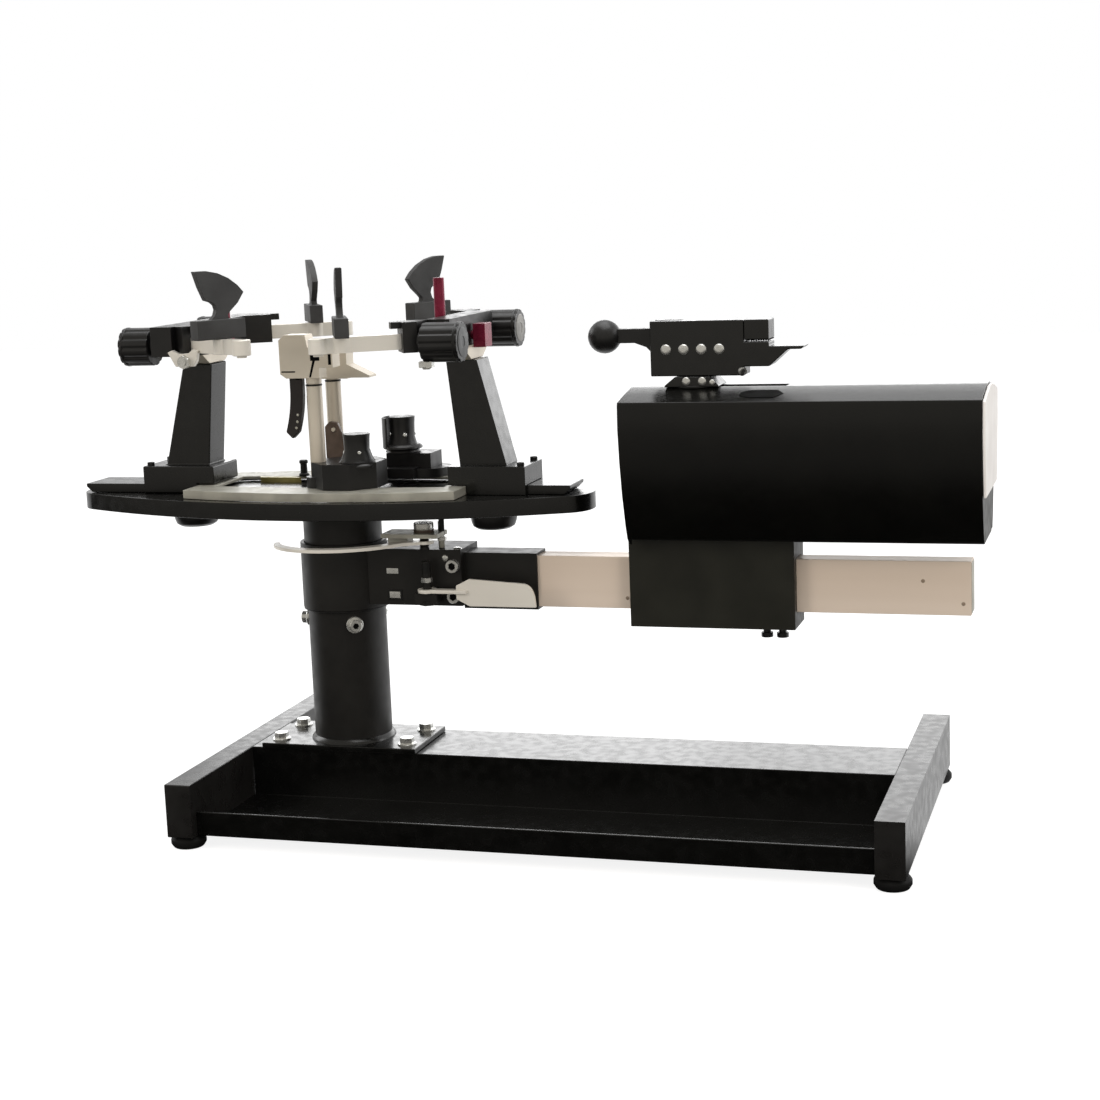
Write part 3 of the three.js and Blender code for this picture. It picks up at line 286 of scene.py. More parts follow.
# ground and polished steel of the arms, the spindle and the two levers below the table: bright,
# with a warm cast
GROUND = surface(
    "ground_steel",
    "#e0dbd1",
    "#e8e4da",
    (0.28, 0.31),
    metal=0.2,
    cloud_mm=80,
    grain_mm=6,
    grain_deep_mm=0.004,
    specular=0.7,
)
# zinc-plated sheet of the glide plate and the brake plate: a duller grey with a green cast
ZINC = surface(
    "zinc_plated_sheet",
    "#96948a",
    "#b4b2a6",
    (0.36, 0.48),
    metal=0.3,
    cloud_mm=22,
    grain_mm=0.5,
    grain_deep_mm=0.008,
)
# the same plate in a darker grey, on the end washer of one knob
GREY_ZINC = surface(
    "grey_zinc_plate",
    "#6c6a66",
    "#8a8883",
    (0.36, 0.44),
    metal=0.4,
    cloud_mm=9,
    grain_mm=1.5,
    grain_deep_mm=0.01,
)
# tumbled zinc castings of the clamp towers and post caps: champagne silver with soft edges
CAST = surface(
    "tumbled_zinc_casting",
    "#cfc5b4",
    "#dfd6c6",
    (0.31, 0.34),
    metal=0.45,
    cloud_mm=60,
    grain_mm=7,
    grain_deep_mm=0.006,
    specular=0.6,
)
# turned stainless screws, nuts and pins: small bright points
STAINLESS = surface(
    "turned_stainless",
    "#d2d2ce",
    "#eeeeea",
    (0.18, 0.28),
    metal=0.85,
    cloud_mm=8,
    grain_mm=0.3,
    grain_deep_mm=0.003,
    specular=0.7,
)
# screws and pins blackened with oxide: dark grey, a little bright at their rims
OXIDE = surface(
    "black_oxide_steel",
    "#1a1a1a",
    "#262625",
    (0.35, 0.45),
    metal=0.5,
    cloud_mm=6,
    grain_mm=0.3,
    grain_deep_mm=0.004,
)
# passivated steel of the rail screws, a shade browner than the rail
TAN_STEEL = surface(
    "passivated_steel",
    "#a08d7a",
    "#b4a290",
    (0.4, 0.5),
    metal=0.5,
    cloud_mm=6,
    grain_mm=0.3,
    grain_deep_mm=0.003,
)
# red anodised centre supports: wine red with a metal sheen
RED = surface(
    "red_anodised_aluminium",
    "#641429",
    "#8a2540",
    (0.24, 0.34),
    metal=0.45,
    cloud_mm=20,
    grain_mm=0.4,
    grain_deep_mm=0.005,
)
# the head's moulded end panel, painted pale grey to nearly white as a painted reflection of the
# bright studio
PALE_PAINTED_REFLECTION = surface(
    "pale_painted_reflection_panel",
    "#e2dedb",
    "#f0edea",
    (0.4, 0.5),
    cloud_mm=40,
    grain_mm=0.8,
    grain_deep_mm=0.015,
)
# the unlit inside of a recess
SHADOW = surface(
    "unlit_recess",
    "#060606",
    "#0b0b0b",
    (0.7, 0.8),
    grain_mm=2,
    grain_deep_mm=0.01,
    specular=0.1,
)
# brass guide strip on the table, dulled to olive
BRASS = surface(
    "dulled_brass",
    "#6d6434",
    "#9a915a",
    (0.3, 0.42),
    metal=0.5,
    cloud_mm=15,
    grain_mm=0.4,
    grain_deep_mm=0.005,
)


# Pieces


SMOOTH_ANGLE = 33  # degrees up to which two faces shade as one
FASTENER_SMOOTH_ANGLE = 30
ROUNDED_ANGLE = 34  # an edge that turns by more degrees is rounded
FLAT_ANGLE = 1.0  # faces that turn by fewer degrees are one flat face
MERGE_GAP = 0.02  # corners that are nearer than this, in millimetres, are one
LARGE_FACE_WEIGHT = 80  # how far a large face leads the shading of its rounded edges


def piece(name, bm, material, body, smooth=SMOOTH_ANGLE):
    """A finished mesh that rides on a CAD body."""
    bmesh.ops.recalc_face_normals(bm, faces=bm.faces)
    mesh = bpy.data.meshes.new(name)
    bm.to_mesh(mesh)
    bm.free()
    mesh.materials.append(material)
    mesh.polygons.foreach_set("use_smooth", [True] * len(mesh.polygons))
    mesh.set_sharp_from_angle(angle=math.radians(smooth))
    made = bpy.data.objects.new(name, mesh)
    bpy.context.scene.collection.objects.link(made)
    even = made.modifiers.new("even_shading", "WEIGHTED_NORMAL")
    even.keep_sharp = True
    even.weight = LARGE_FACE_WEIGHT
    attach(made, body)
    return made


def soften(bm, width):
    """Rounds every edge that turns by more than the rounded angle."""
    sharp = math.radians(ROUNDED_ANGLE)
    edges = [e for e in bm.edges if len(e.link_faces) == 2 and e.calc_face_angle(0) > sharp]
    bmesh.ops.bevel(
        bm,
        geom=edges,
        offset=width * MM,
        segments=2,
        profile=0.5,
        affect="EDGES",
        clamp_overlap=True,
    )


# what the skins leave to the fasteners below, by the place of a face in millimetres about the
# column's axis: heads outside the column's wall, above its plate and in front of the bracket
LEFT_TO_FASTENERS = {
    "column_tube": lambda x, y, z: math.hypot(x, y) > 38.6,
    "column_plate": lambda x, y, z: z > 68.7,
    "rail_bracket": lambda x, y, z: y < -25.1 and x > 112,
}


def skin(node, material, width):
    """The CAD node again, with flat faces made whole, rounded edges and its real finish."""
    source = frame["nodes"][node]
    bm = bmesh.new()
    bm.from_mesh(source.data)
    bmesh.ops.remove_doubles(bm, verts=bm.verts, dist=MERGE_GAP * MM)
    if node in LEFT_TO_FASTENERS:
        middles = [(face, face.calc_center_median() / MM) for face in bm.faces]
        outside = LEFT_TO_FASTENERS[node]
        away = [face for face, (x, y, z) in middles if outside(x - AXIS_X, y, z)]
        bmesh.ops.delete(bm, geom=away, context="FACES")
        rims = [e for e in bm.edges if e.is_boundary]
        bmesh.ops.holes_fill(bm, edges=rims, sides=0)
    flat = math.radians(FLAT_ANGLE)
    bmesh.ops.dissolve_limit(bm, angle_limit=flat, verts=bm.verts, edges=bm.edges)
    soften(bm, width)
    made = piece(f"{node}_skin", bm, material, source["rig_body"])
    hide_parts(node)
    return made


SIDES = (("left", -1), ("right", 1))
CORNERS = [f"{end}_{side}" for side in ("left", "right") for end in ("front", "rear")]

# each finish, how far its edges are rounded in millimetres, and the nodes that have both
SKINS = [
    (POWDER_GREY_PAINTED_LIGHT, 1.4, ["left_crossbar", "right_crossbar"]),
    (POWDER, 1.4, ["turntable_plate"]),
    (POWDER, 0.7, ["base_pan", "column_plate", "slide_bar"]),
    (POWDER_DULL_PAINTED_LIGHT, 0.7, ["rail_collar", "rail_bracket"]),
    (POWDER_DULL_PAINTED_LIGHT, 0.5, ["column_tube"]),
    (POWDER, 1.6, ["holder_post_left", "holder_post_right"]),
    (POWDER, 1.0, ["gripper_carriage", "gripper_body", "gripper_jaw"]),
    (POWDER_WARM_PAINTED_LIGHT, 0.8, ["head_bracket", "head_chassis"]),
    (ENAMEL, 1.6, ["head_cover"]),
    (PALE_PAINTED_REFLECTION, 0.8, ["head_end_panel"]),
    (RUBBER, 1.0, ["foot_front_left", "foot_front_right", "foot_rear_left", "foot_rear_right"]),
    (GROUND, 0.5, ["bearing_block", "brake_lever", "lock_lever", "spindle"]),
    (ZINC, 0.5, ["glide_plate", "brake_plate"]),
    (BRUSHED, 0.6, ["rail"]),
    (CAST, 0.6, ["post_cap_left", "post_cap_right", "clamp_tower_front", "clamp_tower_rear"]),
    (RED, 0.8, ["centre_support_left", "centre_support_right"]),
    (MOULDING, 1.0, ["arm_carrier_left", "arm_carrier_right"]),
    (MOULDING, 1.0, ["clamp_base_front", "clamp_base_rear"]),
    (MOULDING, 0.6, ["clamp_paddle_front", "clamp_paddle_rear", "thumb_screw_1", "thumb_screw_2"]),
    (MOULDING, 0.8, ["holder_lock_knob_left", "holder_lock_knob_right", "gripper_lever"]),
    (LEVER_BLACK, 1.2, ["clamp_lever_front"]),
    (PHENOLIC_AND_SHADE, 0.8, ["clamp_lever_rear"]),
    (GROUND, 1.0, [f"arm_bar_{corner}" for corner in CORNERS]),
    (CHARCOAL, 0.9, [f"hook_{corner}" for corner in CORNERS]),
    (MOULDING, 0.8, [f"adjust_knob_{corner}" for corner in CORNERS]),
]
for material, width, nodes in SKINS:
    for node in nodes:
        skin(node, material, width)


# Fasteners, repeated by one node tree


def hex_reach(angle):
    """How far a hexagon that is one across its corners reaches at an angle."""
    return math.cos(math.pi / 6) / math.cos((angle + math.pi / 6) % (math.pi / 3) - math.pi / 6)


def stacked(name, rings, sides):
    """A closed mesh from rings of radius, height and outline, one above the other."""
    bm = bmesh.new()
    rows = []
    for radius, height, outline in rings:
        row = []
        for i in range(sides):
            angle = 2 * math.pi * i / sides
            reach = radius * (hex_reach(angle) if outline == "hex" else 1)
            row.append(bm.verts.new((reach * math.cos(angle), reach * math.sin(angle), height)))
        rows.append(row)
    for low, high in zip(rows, rows[1:]):
        for i in range(sides):
            j = (i + 1) % sides
            bm.faces.new((low[i], low[j], high[j], high[i]))
    bm.faces.new(rows[0][::-1])
    bm.faces.new(rows[-1])
    mesh = bpy.data.meshes.new(name)
    bm.to_mesh(mesh)
    bm.free()
    return mesh


# the fasteners as rings of radius, height and outline, in shares of the size they are given
SOCKET_HEAD = [
    (1.0, 0.0, "round"),
    (1.0, 0.88, "round"),
    (0.93, 0.97, "round"),
    (0.62, 0.97, "hex"),
    (0.58, 0.93, "hex"),
    (0.58, 0.4, "hex"),
]
FLANGED_SOCKET_HEAD = [
    (1.0, 0.0, "round"),
    (1.0, 0.28, "round"),
    (0.94, 0.36, "round"),
    (0.74, 0.36, "round"),
    (0.74, 0.98, "round"),
    (0.66, 1.06, "round"),
    (0.38, 1.06, "hex"),
    (0.36, 1.02, "hex"),
    (0.36, 0.5, "hex"),
]
HEX_BOLT = [
    (1.3, 0.0, "round"),
    (1.3, 0.17, "round"),
    (1.26, 0.21, "round"),
    (1.0, 0.21, "hex"),
    (1.0, 0.92, "hex"),
    (0.9, 1.02, "round"),
]
DOME_PIN = [
    (1.0, 0.0, "round"),
    (1.0, 0.08, "round"),
    (0.93, 0.22, "round"),
    (0.72, 0.36, "round"),
    (0.4, 0.44, "round"),
]
NUT = [
    (0.92, 0.0, "round"),
    (1.0, 0.06, "hex"),
    (1.0, 0.7, "hex"),
    (0.9, 0.78, "round"),
    (0.55, 0.78, "round"),
    (0.52, 1.0, "round"),
]
TOOTH = [
    (1.0, 0.0, "hex"),
    (0.15, 0.9, "hex"),
]


def repeat_tree():
    """A node tree that puts its unit at every point, turned along the point's way and sized."""
    tree = bpy.data.node_groups.new("repeated_fastener", "GeometryNodeTree")
    face = tree.interface
    face.new_socket("Places", in_out="INPUT", socket_type="NodeSocketGeometry")
    sockets = {
        "Unit": face.new_socket("Unit", in_out="INPUT", socket_type="NodeSocketObject"),
        "Size": face.new_socket("Size", in_out="INPUT", socket_type="NodeSocketFloat"),
        "Finish": face.new_socket("Finish", in_out="INPUT", socket_type="NodeSocketMaterial"),
    }
    face.new_socket("Mesh", in_out="OUTPUT", socket_type="NodeSocketGeometry")
    given = put(tree, "NodeGroupInput")
    unit = put(tree, "GeometryNodeObjectInfo", {"Object": given.outputs["Unit"]})
    way = put(tree, "GeometryNodeInputNamedAttribute", {"Name": "way"}, data_type="FLOAT_VECTOR")
    turn = put(
        tree,
        "FunctionNodeAlignRotationToVector",
        {"Vector": way.outputs["Attribute"]},
        axis="Z",
    )
    placed = put(
        tree,
        "GeometryNodeInstanceOnPoints",
        {
            "Points": given.outputs["Places"],
            "Instance": unit.outputs["Geometry"],
            "Rotation": turn.outputs["Rotation"],
            "Scale": given.outputs["Size"],
        },
    )
    whole = put(tree, "GeometryNodeRealizeInstances", {"Geometry": placed.outputs["Instances"]})
    dressed = put(
        tree,
        "GeometryNodeSetMaterial",
        {"Geometry": whole.outputs["Geometry"], "Material": given.outputs["Finish"]},
    )
    put(tree, "NodeGroupOutput", {"Mesh": dressed.outputs["Geometry"]})
    return tree, {name: socket.identifier for name, socket in sockets.items()}


REPEAT, REPEAT_INPUT = repeat_tree()


def at(x, y, z):
    """A place about the column's axis, in the row frame's metres."""
    return Vector(((x + AXIS_X) * MM, y * MM, z * MM))


def repeated(name, rings, size, places, material, body, sides=24):
    """Copies of one fastener at places (x, y, z, way) on a body, as one plain mesh."""
    unit = bpy.data.objects.new(f"{name}_unit", stacked(f"{name}_unit", rings, sides))
    points = bpy.data.meshes.new(f"{name}_places")
    points.from_pydata([at(*place[:3]) for place in places], [], [])
    way = points.attributes.new("way", "FLOAT_VECTOR", "POINT")
    way.data.foreach_set("vector", [value for place in places for value in place[3]])
    holder = bpy.data.objects.new(f"{name}_holder", points)
    bpy.context.scene.collection.objects.link(holder)
    bpy.context.scene.collection.objects.link(unit)
    modifier = holder.modifiers.new("repeat", "NODES")
    modifier.node_group = REPEAT
    modifier[REPEAT_INPUT["Unit"]] = unit
    modifier[REPEAT_INPUT["Size"]] = size * MM
    modifier[REPEAT_INPUT["Finish"]] = material
    ready = holder.evaluated_get(bpy.context.evaluated_depsgraph_get())
    mesh = bpy.data.meshes.new_from_object(ready)
    for used in (holder, unit):
        bpy.data.objects.remove(used)
    bm = bmesh.new()
    bm.from_mesh(mesh)
    return piece(name, bm, material, body, FASTENER_SMOOTH_ANGLE)


# each kind of socket screw: its head, and the reach and the depth of its socket
SOCKET_SCREWS = {"flanged": (FLANGED_SOCKET_HEAD, 0.37, 0.56), "plain": (SOCKET_HEAD, 0.58, 0.45)}
SOCKET_ROOM = 0.97  # the dark filling's share of the socket's reach
FILLING_SINK, FILLING_RISE = 0.04, 0.3  # how far it goes below and above the socket's floor


def socket_screws(name, kind, size, places, body):
    """Stainless socket screws, with a dark filling that stands for each socket's unlit depth."""
    rings, reach, floor = SOCKET_SCREWS[kind]
    repeated(name, rings, size, places, STAINLESS, body)
    filling = [
        (reach * SOCKET_ROOM, floor - FILLING_SINK, "hex"),
        (reach * SOCKET_ROOM, floor + FILLING_RISE, "hex"),
    ]
    repeated(f"{name}_sockets", filling, size, places, SHADOW, body)


UP = (0, 0, 1)
DOWN = (0, 0, -1)
FRONT = (0, -1, 0)
BACK = (0, 1, 0)
RIGHT = (1, 0, 0)
LEFT = (-1, 0, 0)


def outward(bearing, radius, z):
    """A place on a circle round the column, facing outwards."""
    way = (math.cos(math.radians(bearing)), math.sin(math.radians(bearing)), 0)
    return (way[0] * radius, way[1] * radius, z, way)


COLUMN_SCREW_BEARINGS = (-58, -178, 62)
GRIPPER_PINS_X = (331.4, 347.8, 364.2, 380.6)
GRIPPER_PINS_Z = 445.2
GRIPPER_FACE_Y = 13.9
TEETH_PITCH = (2.2, 2.5)  # the jaw's teeth in millimetres, along it and across it
TEETH_COUNT = (10, 11)

socket_screws(
    "column_screws",
    "flanged",
    8.3,
    [outward(bearing, 37.9, 187) for bearing in COLUMN_SCREW_BEARINGS],
    "base",
)
repeated(
    "column_plate_bolts",
    HEX_BOLT,
    7.0,
    [(x, y, 68.5, UP) for x in (-66, 66) for y in (-27, 27)],
    STAINLESS,
    "base",
)
socket_screws(
    "bracket_bolts",
    "plain",
    6.4,
    [(121.5, -24.9, 215.8, FRONT), (121.5, -24.9, 245.1, FRONT)],
    "base",
)
repeated("bracket_set_screw", DOME_PIN, 3.2, [(113.3, -24.9, 252.3, FRONT)], STAINLESS, "base")
repeated("bracket_corner_screw", DOME_PIN, 4.2, [(124, -19, 260.0, UP)], STAINLESS, "base")
repeated(
    "rail_screws",
    DOME_PIN,
    2.5,
    [(560.5, -11.1, 235.4, FRONT), (596, -11.1, 215.2, FRONT), (287.5, -11.1, 214.4, FRONT)],
    TAN_STEEL,
    "base",
)
repeated("lock_flange_nut", NUT, 5.6, [(98, -36, 231.0, UP)], STAINLESS, "base")
repeated(
    "gripper_pins",
    DOME_PIN,
    4.9,
    [(x, -GRIPPER_FACE_Y, GRIPPER_PINS_Z, FRONT) for x in GRIPPER_PINS_X],
    STAINLESS,
    "gripper",
)
repeated(
    "gripper_pin_ends",
    DOME_PIN,
    4.9,
    [(x, GRIPPER_FACE_Y, GRIPPER_PINS_Z, BACK) for x in GRIPPER_PINS_X],
    STAINLESS,
    "gripper",
)
repeated(
    "carriage_screws",
    DOME_PIN,
    3.9,
    [(350.3, -17.6, 416.6, FRONT), (365.1, -17.6, 416.6, FRONT)],
    STAINLESS,
    "gripper",
)
repeated("carriage_pin", DOME_PIN, 2.6, [(374.3, -17.6, 415.6, FRONT)], STAINLESS, "gripper")
repeated(
    "gripper_stop_screw",
    SOCKET_HEAD,
    4.2,
    [(399.6, -10, 425.6, (0.6, -0.7, -0.35))],
    STAINLESS,
    "gripper",
)
repeated(
    "jaw_teeth",
    TOOTH,
    1.1,
    [
        (405.5 + TEETH_PITCH[0] * i, -12.5 + TEETH_PITCH[1] * j, 452.9, DOWN)
        for i in range(TEETH_COUNT[0])
        for j in range(TEETH_COUNT[1])
    ],
    OXIDE,
    "gripper_jaw",
    6,
)
repeated(
    "front_lever_dimples",
    DOME_PIN,
    1.3,
    [(-22.6, -40.0, 391, FRONT), (-23.4, -40.0, 384.5, FRONT), (-24.8, -40.0, 378.6, FRONT)],
    ZINC,
    "clamp_lever_front",
)
for side, sign in SIDES:
    repeated(
        f"holder_foot_screws_{side}",
        SOCKET_HEAD,
        3.6,
        [(sign * 191, y, 339.7, UP) for y in (-21, 21)],
        OXIDE,
        f"holder_{side}",
    )


# Small parts


def blocks(name, spans, material, body, width=0.5):
    """Small rounded blocks, each between two corners about the column's axis."""
    bm = bmesh.new()
    for low, high in spans:
        middle = at(*[(a + b) / 2 for a, b in zip(low, high)])
        reach = Vector([(b - a) * MM for a, b in zip(low, high)])
        bmesh.ops.create_cube(bm, size=1, matrix=Matrix.LocRotScale(middle, None, reach))
    soften(bm, width)
    return piece(name, bm, material, body)


def cut_plate(name, outline, depth, material, body, along="y", width=0.4, lean=0.0):
    """A plate cut to an outline between two depths along y or z; a lean is its rise along y."""
    place = {
        "y": lambda u, v, d: at(u, d, v),
        "z": lambda u, v, d: at(u, v, d + lean * v),
    }[along]
    bm = bmesh.new()
    first, second = [[bm.verts.new(place(u, v, d)) for u, v in outline] for d in depth]
    bm.faces.new(first)
    bm.faces.new(second[::-1])
    count = len(outline)
    for i in range(count):
        j = (i + 1) % count
        bm.faces.new((first[j], first[i], second[i], second[j]))
    bmesh.ops.recalc_face_normals(bm, faces=bm.faces)
    soften(bm, width)
    return piece(name, bm, material, body)


ARC_STEPS = 16


def arc(radius, first, last, middle):
    """Points along an arc about a middle, from a first to a last bearing in degrees."""
    span = last - first
    turns = [math.radians(first + span * i / ARC_STEPS) for i in range(ARC_STEPS + 1)]
    return [(middle[0] + radius * math.cos(a), middle[1] + radius * math.sin(a)) for a in turns]


def turned(name, profile, place, way, material, body, sides=40):
    """A turned part from (radius, height) pairs in millimetres, standing on a place."""
    rings = [(radius, height, "round") for radius, height in profile]
    return repeated(name, rings, 1.0, [(*place, way)], material, body, sides)


# the bracket's clips, and the brake's nut, screw and rod and the lock's sleeve beside it
blocks(
    "bracket_clips",
    [((53.5, -26.2, 236.2), (65.5, -24.6, 241.8)), ((55.5, -26.2, 212.5), (66.5, -24.6, 219.0))],
    STAINLESS,
    "base",
)
blocks("bracket_clip_frame", [((54.0, -25.6, 210.6), (68.5, -24.6, 221.0))], OXIDE, "base", 0.4)
turned(
    "brake_nut",
    [(9.3, 0), (9.3, 3.2), (8.6, 3.6), (9.6, 4.0), (9.6, 8.6), (8.9, 9.3), (4.4, 9.3), (4.2, 9.6)],
    (94, -27, 277.6),
    UP,
    STAINLESS,
    "base",
)
# painted shade: a thin brown band round the foot of the brake nut
turned("brake_nut_band", [(9.7, 0), (9.7, 2.6), (9.5, 2.8)], (94, -27, 277.7), UP, PHENOLIC_AND_SHADE, "base")
turned(
    "brake_screw",
    [(4.6, 0), (4.6, 1.2)] + [(4.1 + 0.5 * (i % 2), 1.2 + 0.9 * i) for i in range(1, 13)],
    (94, -27, 260.4),
    UP,
    OXIDE,
    "base",
    24,
)
turned("brake_rod", [(2.7, 0), (2.7, 22), (2.2, 22.6)], (109.5, -20, 273.6), UP, OXIDE, "base", 20)
repeated("brake_rod_nut", NUT, 4.6, [(109.5, -20, 268.6, UP)], STAINLESS, "base")
turned(
    "lock_sleeve",
    [(4.3, 0), (4.3, 9.4), (3.8, 10)],
    (98, -36, 239.6),
    UP,
    OXIDE,
    "base",
    24,
)

# the column: a weld round its foot, and a dark ring under the collar
turned(
    "column_weld",
    [(41.6, 0), (41.2, 1.3), (39.8, 3.1), (38.3, 4.6), (37.9, 4.8)],
    (0, 0, 68.6),
    UP,
    POWDER,
    "base",
    64,
)
turned(
    "collar_lower_ring",
    [(40.6, 0), (41.6, 0.5), (41.6, 1.6), (40.6, 2.0)],
    (0, 0, 199.2),
    UP,
    OXIDE,
    "base",
    64,
)

# the head: a flat dark plate of painted shade where its crown has a recess, and a ring under the
# gripper
cut_plate(
    "crown_recess",
    arc(12, 90, 270, (415.5, -38.5)) + [(436, -50.5), (443, -38.5), (436, -26.5)],
    (412.0, 413.7),
    SHADOW,
    "head",
    "z",
    0.3,
    0.165,
)
turned(
    "turret_ring",
    [(20.5, 0), (20.5, 1.4), (19.5, 2.0), (17.4, 2.0), (17.0, 1.6)],
    (355, 0, 410.6),
    UP,
    OXIDE,
    "head",
    48,
)

# the table: a brass guide strip in the glide plate's window, and a stop post
cut_plate(
    "guide_strip",
    [(-96, 25.5), (-52, 25.5), (-62, 34), (-100, 34)],
    (315.5, 321.68),
    BRASS,
    "turntable",
    "z",
)
turned(
    "stop_post",
    [(5.2, 0), (5.2, 2), (3.6, 3), (3.4, 12), (4.4, 13), (4.4, 15), (3.6, 16)],
    (-55, 40, 321.4),
    UP,
    OXIDE,
    "turntable",
    24,
)

# the arms: a bent clamp plate under the left carrier, a nut under each, and a drum on each bar
cut_plate(
    "arm_clamp_plate",
    [
        (-124.5, 456.5),
        (-117, 443.2),
        (-99, 443.2),
        (-95.5, 448),
        (-93.5, 458),
        (-99, 459),
        (-103, 455.5),
        (-113, 455.0),
        (-120, 458.5),
    ],
    (-98.6, -93.0),
    GROUND,
    "holder_left",
)
repeated("arm_clamp_nut", NUT, 6.4, [(-107, -98.2, 447.5, FRONT)], STAINLESS, "holder_left")
repeated("arm_clamp_nut_right", NUT, 7.2, [(129, -92, 444.5, DOWN)], STAINLESS, "holder_right")
for side, sign in SIDES:
    for end, y in (("front", -122.5), ("rear", 122.5)):
        turned(
            f"arm_end_drum_{end}_{side}",
            [(4.6, 0), (4.6, 1.8), (8.0, 1.9), (8.6, 2.5), (8.6, 15.6), (8.0, 16.2)],
            (sign * 37.5, y, 452.6),
            UP,
            GROUND,
            f"arm_{end}_{side}",
            36,
        )

# the adjusting knobs: an end washer and a rim on each
for side, sign, near_y, knob_end in (("left", -1, 79, -177.0), ("right", 1, 86, 162.0)):
    way = RIGHT if sign > 0 else LEFT
    for end, y in (("front", -near_y), ("rear", near_y)):
        body = f"adjust_knob_{end}_{side}"
        grey_washer = (end, side) == ("rear", "right")
        turned(
            f"knob_washer_{end}_{side}",
            [(13.4, 0), (13.4, 0.5), (12.6, 0.9), (5.2, 0.9), (4.9, 0.6), (3.2, 0.4)],
            (knob_end - sign * 0.3, y, 461),
            way,
            GREY_ZINC if grey_washer else MOULDING,
            body,
        )
        turned(
            f"knob_rim_{end}_{side}",
            [(17.9, 0), (18.3, 0.5), (18.3, 1.9), (17.9, 2.4)],
            (knob_end - sign * 4.2, y, 461),
            way,
            MOULDING,
            body,
            56,
        )

# the clamps' finger knobs: a skirt under each, bright pins round it, and a fin on the rear one
KNOB_MIDDLES = {"front": (35, -38), "rear": (50, 44)}
KNOB_TOPS = {"front": 373, "rear": 380}
PIN_BEARINGS = (-58, 32, 122, 212)
PIN_REACH = 12.2
PIN_RISE = 0.1  # how far each pin tips up
for end, middle in KNOB_MIDDLES.items():
    top = KNOB_TOPS[end]
    body = f"clamp_paddle_{end}"
    ways = [(math.cos(math.radians(b)), math.sin(math.radians(b))) for b in PIN_BEARINGS]
    turned(
        f"finger_knob_skirt_{end}",
        [(18.6, 0), (19.4, 0.8), (19.0, 2.4), (16.8, 4.2)],
        (*middle, top - 31.5),
        UP,
        MOULDING,
        body,
        48,
    )
    repeated(
        f"finger_knob_pins_{end}",
        DOME_PIN,
        2.1,
        [
            (middle[0] + PIN_REACH * x, middle[1] + PIN_REACH * y, top - 17.5, (x, y, PIN_RISE))
            for x, y in ways
        ],
        STAINLESS,
        body,
        16,
    )
fin = arc(19.6, 150, 236, KNOB_MIDDLES["rear"]) + arc(17.9, 236, 150, KNOB_MIDDLES["rear"])
cut_plate("thumb_fin_rear", fin, (349.5, 379.5), MOULDING, "clamp_paddle_rear", "z", 0.5)

# the clamps: painted shade as dark strips in the gaps between the castings, and the bands where the
# tubes end
blocks(
    "front_clamp_gaps",
    [
        ((-34.5, -45.2, 431.6), (-20.5, -44.4, 433.0)),
        ((-20.5, -45.2, 424.8), (-15.5, -44.4, 426.0)),
        ((-4.5, -45.2, 442.5), (5.0, -44.4, 449.5)),
        ((13.6, -45.2, 438.5), (16.6, -44.4, 448.5)),
    ],
    SHADOW,
    "clamp_tower_front",
    0.25,
)
cut_plate(
    "front_clamp_slit",
    [(-2.3, 443), (0.6, 443), (-4.5, 426.8), (-6.7, 426.8)],
    (-45.2, -44.4),
    SHADOW,
    "clamp_tower_front",
)
for end, middle, z in (("front", (-6, -36), 418.2), ("rear", (-11, 22), 416.8)):
    turned(
        f"clamp_tube_band_{end}",
        [(7.3, 0), (7.9, 0.3), (7.9, 1.5), (7.3, 1.8)],
        (*middle, z),
        UP,
        OXIDE,
        f"clamp_tower_{end}",
        32,
    )

# the rail: a cap in its end
blocks("rail_end_cap", [((602.4, -10.8, 206), (603.6, 10.8, 252))], ZINC, "base", 0.4)


# Studio

WHITE = "#ffffff"
FRONT_TONE = "#b4b0a8"  # how bright the far front of the studio looks in reflections
# the floor's tone in reflections, by its place in y in metres: greys at the far front, a
# near-black band from half a metre in front of the object to its front edge, and then white
FLOOR_TONES = [
    (-4.0, FRONT_TONE),
    (-2.4, "#a8a49c"),
    (-1.3, "#7a7772"),
    (-0.8, "#8a8781"),
    (-0.5, "#121110"),
    (-0.12, "#10100f"),
    (0.0, WHITE),
    (1.0, WHITE),
]
FLOOR_HALF = 6  # metres
FLOOR_DROP = 0.5  # how far the floor lies under the feet, in millimetres
FLOOR_GLOW = 0.86  # the share of white that the floor shows to the camera without its shadows
SHADED_TONE = "#9a9a9a"  # what the lamps add to that, except in a shadow
BOUNCE_TONE = "#b0b0ae"  # how pale the floor is to light that bounces from it

# the world's soft light rises from a grey low down to white overhead
LOW_TONE = "#50504e"
SOFT_LIGHT = 0.8
LOW_HEIGHT, HIGH_HEIGHT = -0.1, 0.9
# the world's backdrop in reflections rises from the front tone to white at the back
FRONT_DEPTH, BACK_DEPTH = -0.25, 0.45

